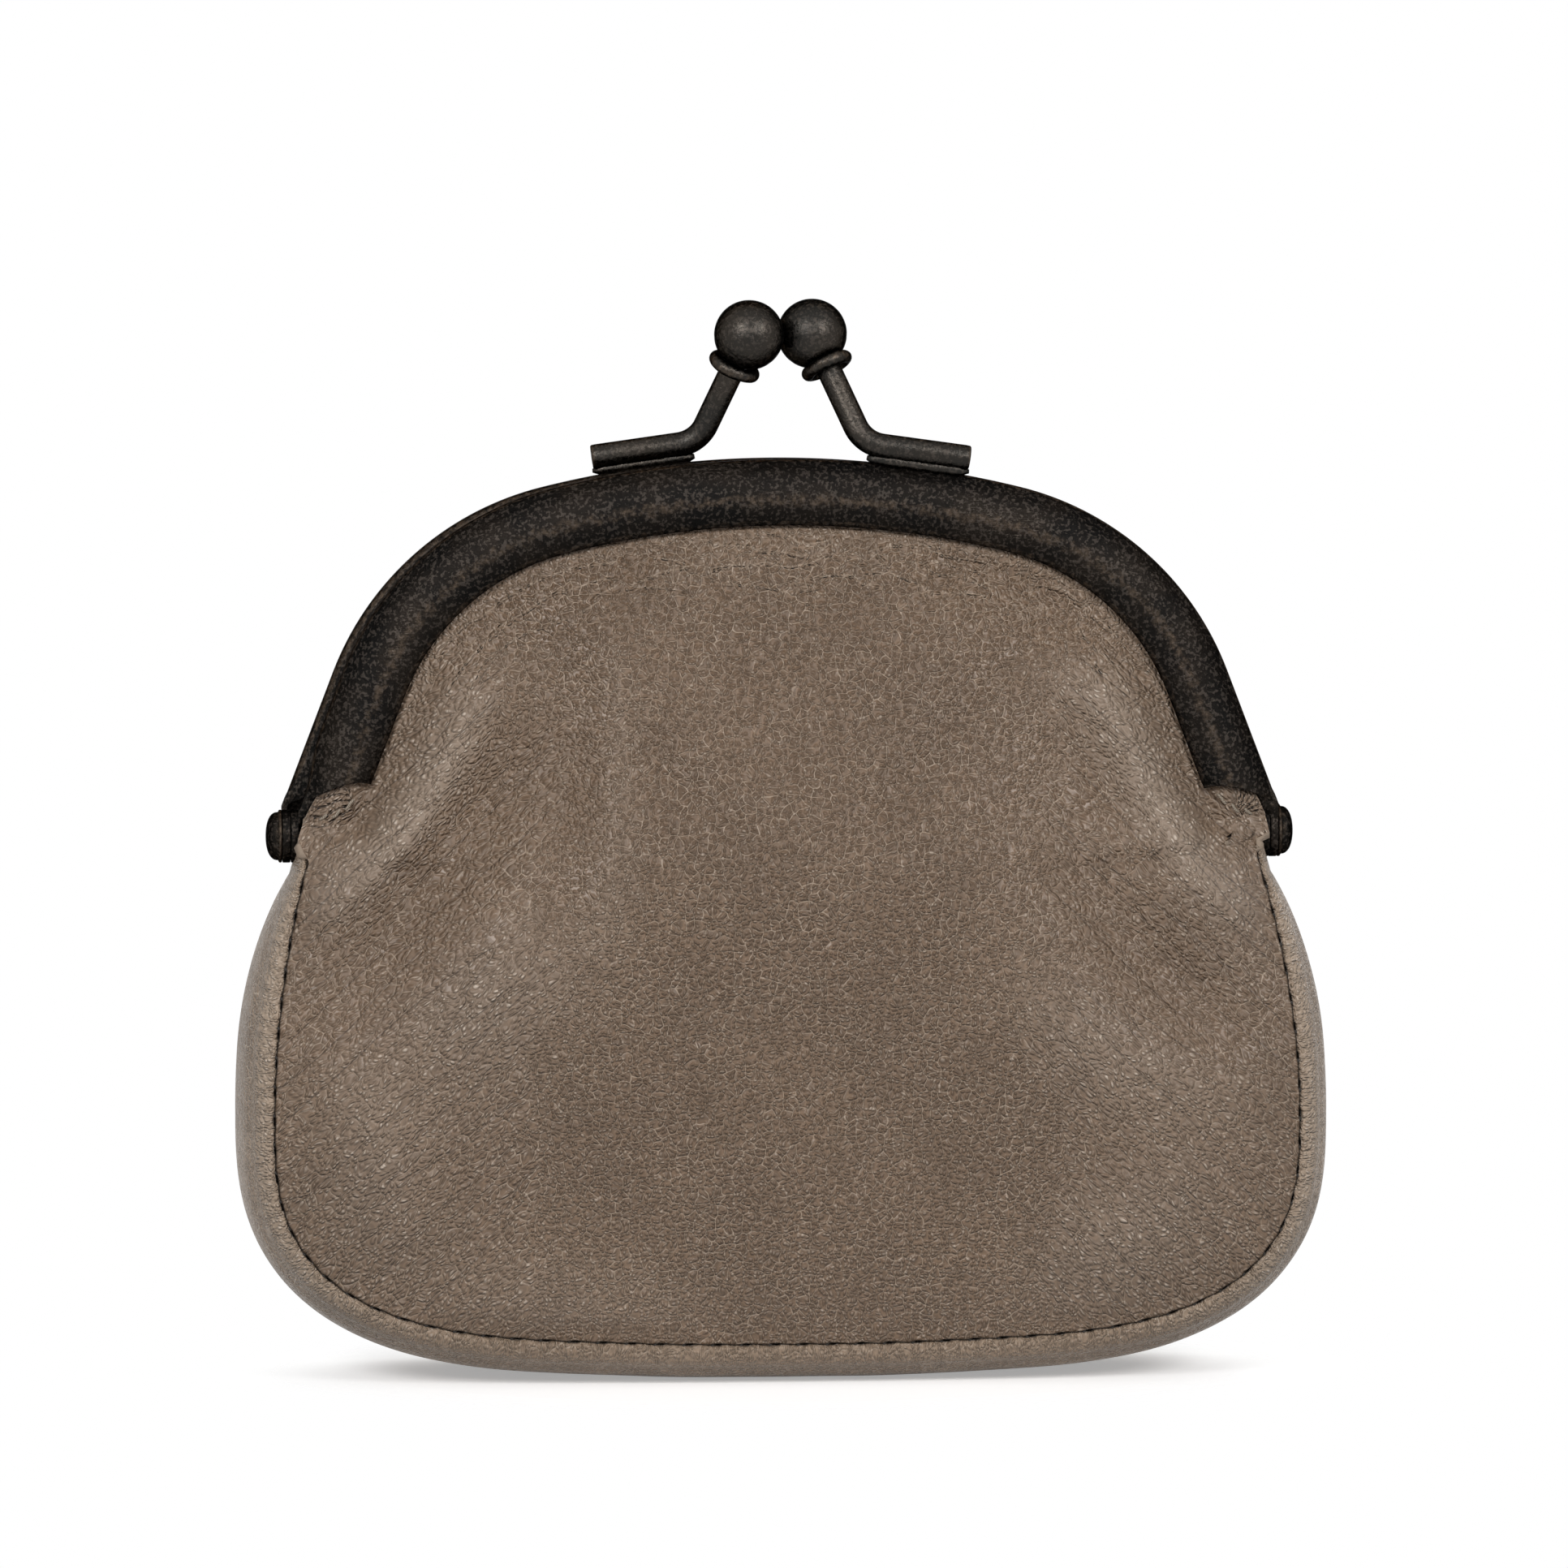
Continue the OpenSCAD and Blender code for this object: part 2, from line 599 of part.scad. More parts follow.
// A strip round the bag that follows the seam, set in from the gusset's outer face
gusset_steps = 8;
function gusset_skin(line, inside) =
    [for (i = [0:len(line) - 1], j = [0:gusset_steps])
        let (z = line[i][1],
             a = 90 - 180 * j / gusset_steps,
             v = sign(a) * pow(abs(sin(a)), 2 / gusset_power),
             f = pow(max(0, cos(a)), 2 / gusset_power),
             p = line[i] + outward(line, i) * (seam_play + (bulge(z) - inside) * f))
        [p[0], (seam_depth(z) - inside) * v, p[1]]];

module gusset_strip(line, near, far) {
    polyhedron(
        points = concat(gusset_skin(line, near), gusset_skin(line, far)),
        faces = strip_faces(len(line) - 1, gusset_steps));
}

module gusset() {
    color(hide_edge) difference() {
        gusset_strip(outline(seam_top), 0, leather_t);
        translate([-2 * seam_half, -2 * base_half_d, -2 * bulge_base])
            cube([4 * seam_half, 4 * base_half_d, 2 * bulge_base]);
    }
}

module gusset_lining() {
    hem = 6;
    near = leather_t + lining_play;
    color(cotton) gusset_strip(outline(seam_top - hem), near, near + lining_t);
}

// Thread along the seam between a panel and the gusset
thread_sides = 5;
thread_play = 0.12; // between the thread and the leather
thread_short = 1.4; // from the seam's top end to the thread's end
module half_seam_thread() {
    line = outline(seam_top - thread_short);
    n = len(line) - 1;
    rise = thread_d / 2 + thread_play;
    points = [for (i = [0:n], j = [0:thread_sides - 1])
        let (a = 360 * j / thread_sides,
             o = outward(line, i),
             p = line[i] + o * (seam_play / 2 + thread_d / 2 * cos(a)))
        [p[0], -(seam_depth(line[i][1]) + rise) - thread_d / 2 * sin(a), p[1]]];
    polyhedron(points = points, faces = tube_faces(n, thread_sides));
}

// Tacks that hold the leather's corners at the ends of the channel
module half_tacks() {
    tack_d = 0.3;
    tack_facets = 16;
    from_in = 1.9;
    from_set = 0.4;
    from_up = 0.2;
    to_in = 1.2;
    to_set = 0.6;
    to_up = 0.7;
    from = [leg_edge(end_h, band_w) + from_in, -(channel_d - from_set), end_h + from_up];
    to = [tabs_in - to_in, -(channel_d - to_set), hinge_h + to_up];
    along = to - from;
    for (side = [0, 1])
        mirror([side, 0, 0])
            translate(from)
            rotate([0, acos(along[2] / norm(along)), atan2(along[1], along[0])])
            cylinder(d = tack_d, h = norm(along), $fn = tack_facets);
}

module front_frame() {
    color(steel) half_frame();
}

module rear_frame() {
    color(steel) rear() half_frame();
}

module left_rivet() {
    color(steel) rotate([0, 0, 180]) rivet();
}

module right_rivet() {
    color(steel) rivet();
}

module front_clasp_foot() {
    color(steel) clasp_foot();
}

module rear_clasp_foot() {
    color(steel) rear() clasp_foot();
}

module front_clasp_post() {
    color(steel) clasp_post();
}

module rear_clasp_post() {
    color(steel) rear() clasp_post();
}

module front_ball() {
    color(steel) clasp_ball();
}

module rear_ball() {
    color(steel) rear() clasp_ball();
}

module front_collar() {
    color(steel) clasp_collar();
}

module rear_collar() {
    color(steel) rear() clasp_collar();
}

module front_packing_cord() {
    color(paper) half_packing_cord();
}

module rear_packing_cord() {
    color(paper) rear() half_packing_cord();
}

module front_panel_upper() {
    color(hide) half_upper_panel();
}

module rear_panel_upper() {
    color(hide) rear() half_upper_panel();
}

module front_panel_lower() {
    color(hide) half_lower_panel();
}

module rear_panel_lower() {
    color(hide) rear() half_lower_panel();
}

module front_lining_upper() {
    color(cotton) half_upper_lining();
}

module rear_lining_upper() {
    color(cotton) rear() half_upper_lining();
}

module front_lining_lower() {
    color(cotton) half_lower_lining();
}

module rear_lining_lower() {
    color(cotton) rear() half_lower_lining();
}

module front_seam_thread() {
    color(stitch) half_seam_thread();
}

module rear_seam_thread() {
    color(stitch) rear() half_seam_thread();
}

module front_tacks() {
    color(loose_stitch) half_tacks();
}

module rear_tacks() {
    color(loose_stitch) rear() half_tacks();
}

front_frame();
rear_frame();
left_rivet();
right_rivet();
front_clasp_foot();
rear_clasp_foot();
front_clasp_post();
rear_clasp_post();
front_ball();
rear_ball();
front_collar();
rear_collar();
front_packing_cord();
rear_packing_cord();
front_panel_upper();
rear_panel_upper();
front_panel_lower();
rear_panel_lower();
front_lining_upper();
rear_lining_upper();
front_lining_lower();
rear_lining_lower();
gusset();
gusset_lining();
front_seam_thread();
rear_seam_thread();
front_tacks();
rear_tacks();
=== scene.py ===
# %% [markdown]
# # A kiss lock frame purse
#
# A soft leather bag hangs in an arched metal frame whose two halves snap shut. This lesson dresses a
# finished CAD model of it. The CAD model holds the sizes and the joints, and each piece made here stands
# where its CAD piece stands. Lengths are in millimetres until the last moment, because that is how a
# purse maker thinks, and one helper turns them into Blender's metres.

# %% Load the CAD frame
import json
import math

import bmesh
import bpy
import numpy as np
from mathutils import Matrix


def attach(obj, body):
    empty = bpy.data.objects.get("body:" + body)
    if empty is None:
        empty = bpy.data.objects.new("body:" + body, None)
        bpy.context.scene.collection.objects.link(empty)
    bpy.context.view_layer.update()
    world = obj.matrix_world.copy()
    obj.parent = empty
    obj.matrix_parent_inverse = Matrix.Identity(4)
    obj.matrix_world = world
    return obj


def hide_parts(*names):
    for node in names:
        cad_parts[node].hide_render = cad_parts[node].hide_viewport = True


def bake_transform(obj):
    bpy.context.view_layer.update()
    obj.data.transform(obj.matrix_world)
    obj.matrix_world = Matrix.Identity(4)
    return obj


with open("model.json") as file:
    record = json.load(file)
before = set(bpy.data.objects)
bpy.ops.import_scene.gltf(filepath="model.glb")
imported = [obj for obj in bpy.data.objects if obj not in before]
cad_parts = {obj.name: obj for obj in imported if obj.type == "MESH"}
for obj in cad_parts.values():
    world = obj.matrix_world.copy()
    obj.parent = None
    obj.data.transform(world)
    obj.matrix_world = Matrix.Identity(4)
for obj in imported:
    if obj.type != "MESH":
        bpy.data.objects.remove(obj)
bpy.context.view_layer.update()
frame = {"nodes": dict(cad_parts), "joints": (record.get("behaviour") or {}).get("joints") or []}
print("pieces in the CAD frame:", len(frame["nodes"]))

# %% [markdown]
# ## Driving sizes
#
# These few sizes are the ones that the purse maker would write on the pattern. Where a size can be read
# from the CAD frame, it is read from there, so that a changed frame moves the leather with it.

# %% Sizes of the frame, the clasp and the bag
MM = 0.001
joint_at = {j["name"]: np.array(j["pos_m"]) / MM for j in frame["joints"]}
HINGE_H = joint_at["front_swing"][2]
CROWN_RISE, CROWN_R, CROWN_HALF = 38.2, 99.0, 14.0
SHOULDER_R, LEG_TILT, BAND_W = 30.5, 21.0, 6.5
CHANNEL_D, FACE_R, SHEET_T, BACK_W = 4.15, 4.4, 0.65, 0.1
END_RISE, TAB_T, TAB_R, TAB_PLAY = 2.9, 0.8, 2.7, 0.05
SHANK_R, BORE_PLAY, DOME_R, DOME_H, CLINCH_R, CLINCH_T = 1.05, 0.05, 2.7, 1.65, 1.8, 0.45
WIRE_R, FOOT_BACK, FOOT_SLOPE, FOOT_END = 1.27, 2.0, 8.0, 19.1
WELD_H, WELD_L, ELBOW_X, ELBOW_R = 0.5, 8.4, 8.3, 3.5
BALL_R, BALL_X, BALL_Y, BALL_RISE, COLLAR_R, COLLAR_T = 3.55, 3.3, 1.4, 12.6, 2.75, 1.3
SEAM_HALF, WIDE_H, SEAM_LOW, SEAM_DROP, CORNER_POWER = 51.8, 27.0, 3.0, 2.2, 3.0
TOP_D, SIDE_D, BASE_D, WAIST_D, LOWER_WAIST_D = 4.8, 12.5, 13.5, 11.5, 14.4
LEATHER_T, PARED_T, TUCK, TUCK_PLAY = 1.1, 0.8, 4.0, 0.12
BULGE_SIDE, BULGE_BASE = 3.8, 3.3
STITCH_PITCH, STITCH_L, THREAD_R = 2.9, 0.9, 0.17

crown_top = HINGE_H + CROWN_RISE
crown_c = np.array([0.0, crown_top - CROWN_R])
tilt = math.radians(LEG_TILT)
half_crown = math.radians(CROWN_HALF)
shoulder_c = crown_c + (CROWN_R - SHOULDER_R) * np.array([math.sin(half_crown), math.cos(half_crown)])
leg_out = np.array([math.cos(tilt), math.sin(tilt)])
leg_down = np.array([math.sin(tilt), -math.cos(tilt)])
leg_start = shoulder_c + SHOULDER_R * leg_out
end_h = HINGE_H + END_RISE
seam_top = HINGE_H - SEAM_DROP
tab_x = leg_start[0] + (leg_start[1] - end_h) * math.tan(tilt) - TAB_T / 2
half_shift = (TAB_T + TAB_PLAY) / 2
tabs_out, tabs_in = tab_x + half_shift + TAB_T / 2, tab_x - half_shift - TAB_T / 2
seam_top_half = tabs_in - 0.9
HALVES = (("front", False), ("rear", True))
print(f"hinges at {HINGE_H:.1f} mm, crown at {crown_top:.1f} mm")
print(f"tabs from {tabs_in:.2f} to {tabs_out:.2f} mm")

# %% [markdown]
# ## Small helpers
#
# Meshes are made from lists of points and faces. Every helper below gives one closed or open skin with
# smooth shading. The rear half of the purse is the front half turned half way round the upright axis, as
# both halves of such a frame come from one stamping, so one helper does that turn.


# %% Helpers that make and settle meshes
def add_mesh(name, points, faces, attributes=None):
    """A smooth mesh object from points in millimetres. attributes holds numbers or vectors per point."""
    mesh = bpy.data.meshes.new(name)
    mesh.from_pydata((np.asarray(points, float) * MM).tolist(), [], [list(map(int, f)) for f in faces])
    mesh.validate()
    mesh.update()
    for key, values in (attributes or {}).items():
        values = np.asarray(values, np.float32)
        kind, field = ("FLOAT", "value") if values.ndim == 1 else ("FLOAT_VECTOR", "vector")
        mesh.attributes.new(key, kind, "POINT").data.foreach_set(field, values.ravel())
    mesh.polygons.foreach_set("use_smooth", [True] * len(mesh.polygons))
    obj = bpy.data.objects.new(name, mesh)
    bpy.context.scene.collection.objects.link(obj)
    return obj


def settle(obj):
    """Applies the modifiers of a piece, so that its mesh is final."""
    bpy.context.view_layer.update()
    evaluated = obj.evaluated_get(bpy.context.evaluated_depsgraph_get())
    mesh = bpy.data.meshes.new_from_object(evaluated, preserve_all_data_layers=True,
                                           depsgraph=bpy.context.evaluated_depsgraph_get())
    obj.modifiers.clear()
    obj.data = mesh
    return obj


def face_outwards(obj):
    """Turns the faces of every closed shell outwards."""
    b = bmesh.new()
    b.from_mesh(obj.data)
    bmesh.ops.recalc_face_normals(b, faces=b.faces)
    b.to_mesh(obj.data)
    b.free()
    return obj


def thickened(obj, thickness, inner_slot=0):
    """Gives an open skin its thickness, inwards. inner_slot is how many materials on its inside lies."""
    shell = obj.modifiers.new("thickness", "SOLIDIFY")
    shell.thickness, shell.offset = thickness * MM, -1
    shell.material_offset = shell.material_offset_rim = inner_slot
    return settle(obj)


def per_point(x, y, z):
    """Three numbers for each point, from grids that broadcast to one shape."""
    return np.stack(np.broadcast_arrays(x, y, z), axis=-1).astype(float).reshape(-1, 3)


def turned_half_round(points):
    """Points of the front half, turned to the rear half."""
    return np.asarray(points, float) * np.array([-1.0, -1.0, 1.0])


def grid_faces(rows, columns, wrap=False, flip=False):
    """Quads over a grid of points that is stored row by row. wrap joins the last column to the first."""
    faces = []
    for i in range(rows - 1):
        for j in range(columns if wrap else columns - 1):
            k = (j + 1) % columns
            quad = [i * columns + j, i * columns + k, (i + 1) * columns + k, (i + 1) * columns + j]
            faces.append(quad[::-1] if flip else quad)
    return faces


def smooth_step(low, high, value):
    t = np.clip((np.asarray(value, float) - low) / (high - low), 0, 1)
    return t * t * (3 - 2 * t)


def mix(a, b, t):
    return a + (b - a) * t


# %% Helpers that sweep and turn
def unit(v):
    v = np.asarray(v, float)
    return v / np.linalg.norm(v)


def swept_tube(path, radii, sides, ridge=None):
    """Points and faces of a closed tube along a path. ridge gives a share of the radius at each point."""
    path = np.asarray(path, float)
    tangents = np.gradient(path, axis=0)
    tangents /= np.linalg.norm(tangents, axis=1)[:, None]
    side = unit(np.cross(tangents[0], [0.31, 0.83, 0.47]))
    rings = []
    for i, (p, t) in enumerate(zip(path, tangents)):
        side = unit(side - t * (side @ t))
        up = np.cross(t, side)
        for j in range(sides):
            a = 2 * math.pi * j / sides
            r = radii[i] * (1 if ridge is None else ridge(i, j))
            rings.append(p + r * (math.cos(a) * side + math.sin(a) * up))
    n = len(path)
    faces = grid_faces(n, sides, wrap=True)
    faces.append(list(range(sides))[::-1])
    faces.append([(n - 1) * sides + j for j in range(sides)])
    return np.array(rings), faces


def lathe(profile, sides, origin, axis, start_dir):
    """Turns a profile of (distance along the axis, radius) round an axis, on which both its ends lie."""
    axis, start_dir = unit(axis), np.asarray(start_dir, float)
    start_dir = unit(start_dir - axis * (axis @ start_dir))
    third = np.cross(axis, start_dir)
    points, n = [], len(profile)
    for along, radius in profile[1:-1]:
        for j in range(sides):
            a = 2 * math.pi * j / sides
            points.append(np.asarray(origin) + along * axis
                          + radius * (math.cos(a) * start_dir + math.sin(a) * third))
    faces = grid_faces(n - 2, sides, wrap=True)
    first, last = len(points), len(points) + 1
    points += [np.asarray(origin) + profile[0][0] * axis, np.asarray(origin) + profile[-1][0] * axis]
    top = (n - 3) * sides
    faces += [[first, (j + 1) % sides, j] for j in range(sides)]
    faces += [[last, top + j, top + (j + 1) % sides] for j in range(sides)]
    return np.array(points), faces


def joined(*parts):
    """Several (points, faces) pairs as one."""
    points, faces, base = [], [], 0
    for p, f in parts:
        points.append(np.asarray(p, float))
        faces += [[base + i for i in face] for face in f]
        base += len(p)
    return np.vstack(points), faces


# %% [markdown]
# ## Camera and studio
#
# The purse was shot from the front, a little from its left and a little from above, with a long lens, so
# that its arch keeps its shape. Two softboxes in front give the two soft glints on each ball. The ground
# is white, and fades out to a white world, so that only the purse's own shadow shows on it.

# %% Camera
PHOTO_PX = 1932
PX_PER_MM = 12.1
VIEW_AZIMUTH, VIEW_ELEVATION = -4.0, 5.0
CAMERA_DISTANCE = 1100.0
AIM = np.array([0.35, 0.0, 60.0])
SENSOR = 36.0

camera_data = bpy.data.cameras.new("camera")
camera = bpy.data.objects.new("camera", camera_data)
bpy.context.scene.collection.objects.link(camera)
az, el = math.radians(VIEW_AZIMUTH), math.radians(VIEW_ELEVATION)
back = np.array([math.sin(az) * math.cos(el), -math.cos(az) * math.cos(el), math.sin(el)])
camera.location = (AIM + CAMERA_DISTANCE * back) * MM
camera.rotation_euler = (math.pi / 2 - el, 0, az)
camera_data.sensor_width = SENSOR
camera_data.lens = SENSOR * CAMERA_DISTANCE / (PHOTO_PX / PX_PER_MM)
camera_data.clip_start, camera_data.clip_end = 0.05, 20
bpy.context.scene.camera = camera
print(f"lens {camera_data.lens:.0f} mm at {CAMERA_DISTANCE / 1000:.1f} m")


# %% Softboxes
def softbox(name, azimuth, elevation, distance, size, watts):
    """A square area light that looks at the purse from an azimuth and an elevation."""
    a, e = math.radians(azimuth), math.radians(elevation)
    light = bpy.data.lights.new(name, "AREA")
    light.size, light.energy = size, watts
    obj = bpy.data.objects.new(name, light)
    bpy.context.scene.collection.objects.link(obj)
    where = np.array([math.sin(a) * math.cos(e), -math.cos(a) * math.cos(e), math.sin(e)])
    obj.location = (AIM + distance * where) * MM
    obj.rotation_euler = (math.pi / 2 - e, 0, a)
    return obj


softbox("left_softbox", -29, 27, 1000, 0.28, 4.8)
softbox("right_softbox", 33, 27, 1000, 0.28, 4.4)
softbox("top_softbox", 0, 62, 1100, 0.7, 0.35)
softbox("rear_softbox", 165, 40, 1200, 0.9, 8.0)


# %% [markdown]
# ## Building materials from nodes
#
# A material here is a small tree of nodes. These helpers put in a node and link its inputs in one line,
# which keeps the finishes readable. An effect that several finishes share becomes a node group.


# %% Helpers for node trees
def put(tree, kind, inputs=(), **settings):
    """Adds a node. An input given as a socket is linked, and any other value is set."""
    node = tree.nodes.new(kind)
    for key, value in settings.items():
        setattr(node, key, value)
    for key, value in dict(inputs).items():
        if isinstance(value, bpy.types.NodeSocket):
            tree.links.new(value, node.inputs[key])
        else:
            node.inputs[key].default_value = value
    return node


def calc(tree, operation, a, b=0.0, clamp=False):
    return put(tree, "ShaderNodeMath", {0: a, 1: b}, operation=operation, use_clamp=clamp).outputs[0]


def ease(tree, value, low, high, to_low=0.0, to_high=1.0):
    """A smooth step from to_low to to_high as the value goes from low to high."""
    return put(tree, "ShaderNodeMapRange",
               {"Value": value, "From Min": low, "From Max": high, "To Min": to_low, "To Max": to_high},
               interpolation_type="SMOOTHSTEP").outputs[0]


def blend_colours(tree, factor, a, b):
    node = put(tree, "ShaderNodeMix", {0: factor}, data_type="RGBA", blend_type="MIX", clamp_factor=True)
    for index, value in ((6, a), (7, b)):
        if isinstance(value, bpy.types.NodeSocket):
            tree.links.new(value, node.inputs[index])
        else:
            node.inputs[index].default_value = (*value, 1.0)
    return node.outputs[2]


def attribute(tree, name, vector=False):
    node = put(tree, "ShaderNodeAttribute", attribute_name=name)
    return node.outputs["Vector" if vector else "Fac"]


def new_group(name, inputs, outputs):
    """An empty node group with its sockets: each is a name, a kind and, for an input, a default."""
    tree = bpy.data.node_groups.new(name, "ShaderNodeTree")
    for key, kind, default in inputs:
        socket = tree.interface.new_socket(key, in_out="INPUT", socket_type=kind)
        if default is not None:
            socket.default_value = default
    for key, kind in outputs:
        tree.interface.new_socket(key, in_out="OUTPUT", socket_type=kind)
    return tree, tree.nodes.new("NodeGroupInput").outputs, tree.nodes.new("NodeGroupOutput").inputs


def use_group(tree, group, inputs):
    return put(tree, "ShaderNodeGroup", inputs, node_tree=group)


def seen(tree):
    """1 for a ray from the camera, from a mirror or through a clear piece, and 0 for any other."""
    rays = put(tree, "ShaderNodeLightPath").outputs
    return calc(tree, "MAXIMUM", rays["Is Camera Ray"],
                calc(tree, "MAXIMUM", rays["Is Glossy Ray"], rays["Is Transmission Ray"]))


# %% [markdown]
# ### Pebble grain
#
# Soft cow hide is covered with tiny beads, and fine pale veins part them into bigger cells. Two Voronoi
# textures give both. The distance to a cell's edge tells where a vein runs. The distance to a cell's
# middle makes a round bead, and the cell's own random colour picks the beads whose tops get a painted
# glint, a painted highlight that stands in for the sparkle of light on them.

# %% Node group: pebble grain
FLOAT, VECTOR = "NodeSocketFloat", "NodeSocketVector"
grain, g_in, g_out = new_group(
    "pebble_grain",
    [("Vector", VECTOR, None), ("Cell", FLOAT, 1.0), ("Bead", FLOAT, 0.5), ("Vein", FLOAT, 0.065),
     ("Stretch", VECTOR, (1, 1, 1))],
    [("Height", FLOAT), ("Vein", FLOAT), ("Top", FLOAT), ("Tone", FLOAT), ("Blotch", FLOAT)])
stretched = put(grain, "ShaderNodeVectorMath", {0: g_in["Vector"], 1: g_in["Stretch"]},
                operation="MULTIPLY")
warp = put(grain, "ShaderNodeTexNoise", {"Vector": stretched.outputs[0], "Scale": 0.9, "Detail": 0.0})
centred = put(grain, "ShaderNodeVectorMath", {0: warp.outputs["Color"], 1: (0.5, 0.5, 0.5)},
              operation="SUBTRACT")
bent = put(grain, "ShaderNodeVectorMath", {0: centred.outputs[0], "Scale": 0.7}, operation="SCALE")
moved = put(grain, "ShaderNodeVectorMath", {0: stretched.outputs[0], 1: bent.outputs[0]}, operation="ADD")
per_cell, per_bead = calc(grain, "DIVIDE", 1.0, g_in["Cell"]), calc(grain, "DIVIDE", 1.0, g_in["Bead"])
cells, beads = [put(grain, "ShaderNodeTexVoronoi", {"Vector": moved.outputs[0], "Scale": scale,
                                                  "Randomness": 0.9},
                    feature=feature, voronoi_dimensions="2D")
                for scale, feature in ((per_cell, "DISTANCE_TO_EDGE"), (per_bead, "F1"))]
own = put(grain, "ShaderNodeSeparateColor", {0: beads.outputs["Color"]}).outputs
broad = put(grain, "ShaderNodeTexNoise", {"Vector": g_in["Vector"], "Scale": 0.055, "Detail": 3.0,
                                          "Roughness": 0.55})
vein = ease(grain, cells.outputs["Distance"], g_in["Vein"], 0.0)
dome = ease(grain, beads.outputs["Distance"], 0.62, 0.0)
glint_pick = ease(grain, own[1], 0.45, 1.0)
# painted highlight: a pale glint on the tops of the beads that the random colour picks
top = calc(grain, "MULTIPLY", ease(grain, beads.outputs["Distance"], 0.4, 0.1), glint_pick)
plateau = ease(grain, cells.outputs["Distance"], 0.0, 0.16)
height = calc(grain, "ADD", calc(grain, "MULTIPLY", plateau, 0.3), calc(grain, "MULTIPLY", dome, 0.6))
height = calc(grain, "ADD", height, calc(grain, "MULTIPLY", calc(grain, "MULTIPLY", own[0], dome), 0.4))
grain.links.new(height, g_out["Height"])
grain.links.new(vein, g_out["Vein"])
grain.links.new(top, g_out["Top"])
grain.links.new(own[0], g_out["Tone"])
grain.links.new(ease(grain, broad.outputs["Fac"], 0.35, 0.65), g_out["Blotch"])
print("grain group:", len(grain.nodes), "nodes")

# %% [markdown]
# ### Fine creases
#
# Where leather is pulled to a corner, its surface breaks into fine lines along the pull. A noise that is
# stretched along the pull has such lines where it crosses its middle value. A crease is drawn wherever the
# noise crosses that value between a point and another a hair across, so each line has the same width. The
# mesh tells this group which way the pull goes, with a coordinate that runs along and across it.

# %% Node group: fine creases
creases, c_in, c_out = new_group(
    "fine_creases",
    [("Vector", VECTOR, None), ("Length", FLOAT, 6.0), ("Width", FLOAT, 0.8), ("Hair", FLOAT, 0.12)],
    [("Height", FLOAT), ("Line", FLOAT)])


def pull_noise(shift):
    """The stretched noise about its middle value, at a place moved across the pull."""
    parts = put(creases, "ShaderNodeSeparateXYZ", {0: c_in["Vector"]})
    along = calc(creases, "DIVIDE", parts.outputs[0], c_in["Length"])
    across = calc(creases, "DIVIDE", calc(creases, "ADD", parts.outputs[1], shift), c_in["Width"])
    run = put(creases, "ShaderNodeCombineXYZ", {0: along, 1: across, 2: parts.outputs[2]})
    noise = put(creases, "ShaderNodeTexNoise", {"Vector": run.outputs[0], "Scale": 1.0, "Detail": 0.8,
                                                "Roughness": 0.45})
    return calc(creases, "SUBTRACT", noise.outputs["Fac"], 0.5)


here, there = pull_noise(0.0), pull_noise(c_in["Hair"])
crossed = calc(creases, "LESS_THAN", calc(creases, "MULTIPLY", here, there), 0.0)
creases.links.new(ease(creases, calc(creases, "ABSOLUTE", here), 0.0, 0.05), c_out["Height"])
creases.links.new(crossed, c_out["Line"])


# %% [markdown]
# ### Handled metal
#
# The frame is steel with a black, oxidised finish. Handling has rubbed it brown along its edges, and left
# light smears, small nicks and hair scratches. The group gives those as masks, and each metal decides how
# strongly it shows them.

# %% Node group: handled metal
handled, h_in, h_out = new_group(
    "handled_metal",
    [("Vector", VECTOR, None), ("Size", FLOAT, 1.0), ("Edge", FLOAT, 0.0)],
    [("Wear", FLOAT), ("Scratch", FLOAT), ("Smear", FLOAT), ("Pit", FLOAT), ("Grit", FLOAT)])
sized = put(handled, "ShaderNodeVectorMath", {0: h_in["Vector"], "Scale": h_in["Size"]}, operation="SCALE")
cloud = put(handled, "ShaderNodeTexNoise", {"Vector": sized.outputs[0], "Scale": 0.16, "Detail": 4.0})
rough = put(handled, "ShaderNodeTexNoise", {"Vector": sized.outputs[0], "Scale": 1.4, "Detail": 5.0,
                                            "Roughness": 0.7})
pits = put(handled, "ShaderNodeTexVoronoi", {"Vector": sized.outputs[0], "Scale": 0.24, "Randomness": 1.0})
long_way = put(handled, "ShaderNodeVectorMath", {0: sized.outputs[0], 1: (0.12, 1.0, 1.9)},
               operation="MULTIPLY")
hairs = put(handled, "ShaderNodeTexNoise", {"Vector": long_way.outputs[0], "Scale": 2.4, "Detail": 1.0,
                                            "Distortion": 0.6})
hair_fold = calc(handled, "ABSOLUTE", calc(handled, "SUBTRACT", hairs.outputs["Fac"], 0.5))
hair_line = ease(handled, hair_fold, 0.006, 0.0)
hair_where = ease(handled, cloud.outputs["Fac"], 0.52, 0.66)
edge_noise = calc(handled, "ADD", h_in["Edge"], calc(handled, "SUBTRACT", rough.outputs["Fac"], 0.5))
handled.links.new(ease(handled, edge_noise, 0.45, 0.95), h_out["Wear"])
handled.links.new(calc(handled, "MULTIPLY", hair_line, hair_where), h_out["Scratch"])
handled.links.new(ease(handled, cloud.outputs["Fac"], 0.35, 0.7), h_out["Smear"])
handled.links.new(ease(handled, pits.outputs["Distance"], 0.07, 0.03), h_out["Pit"])
grit = put(handled, "ShaderNodeTexNoise", {"Vector": sized.outputs[0], "Scale": 2.6, "Detail": 5.0,
                                           "Roughness": 0.62})
handled.links.new(ease(handled, grit.outputs["Fac"], 0.3, 0.7), h_out["Grit"])

# %% [markdown]
# ### Woven and twisted threads
#
# The lining is plain cotton cloth: warp and weft cross over and under. Two sets of bands, each raised
# where the other dips, give that. A sewing thread is twisted, so its bands run round it at a slant.

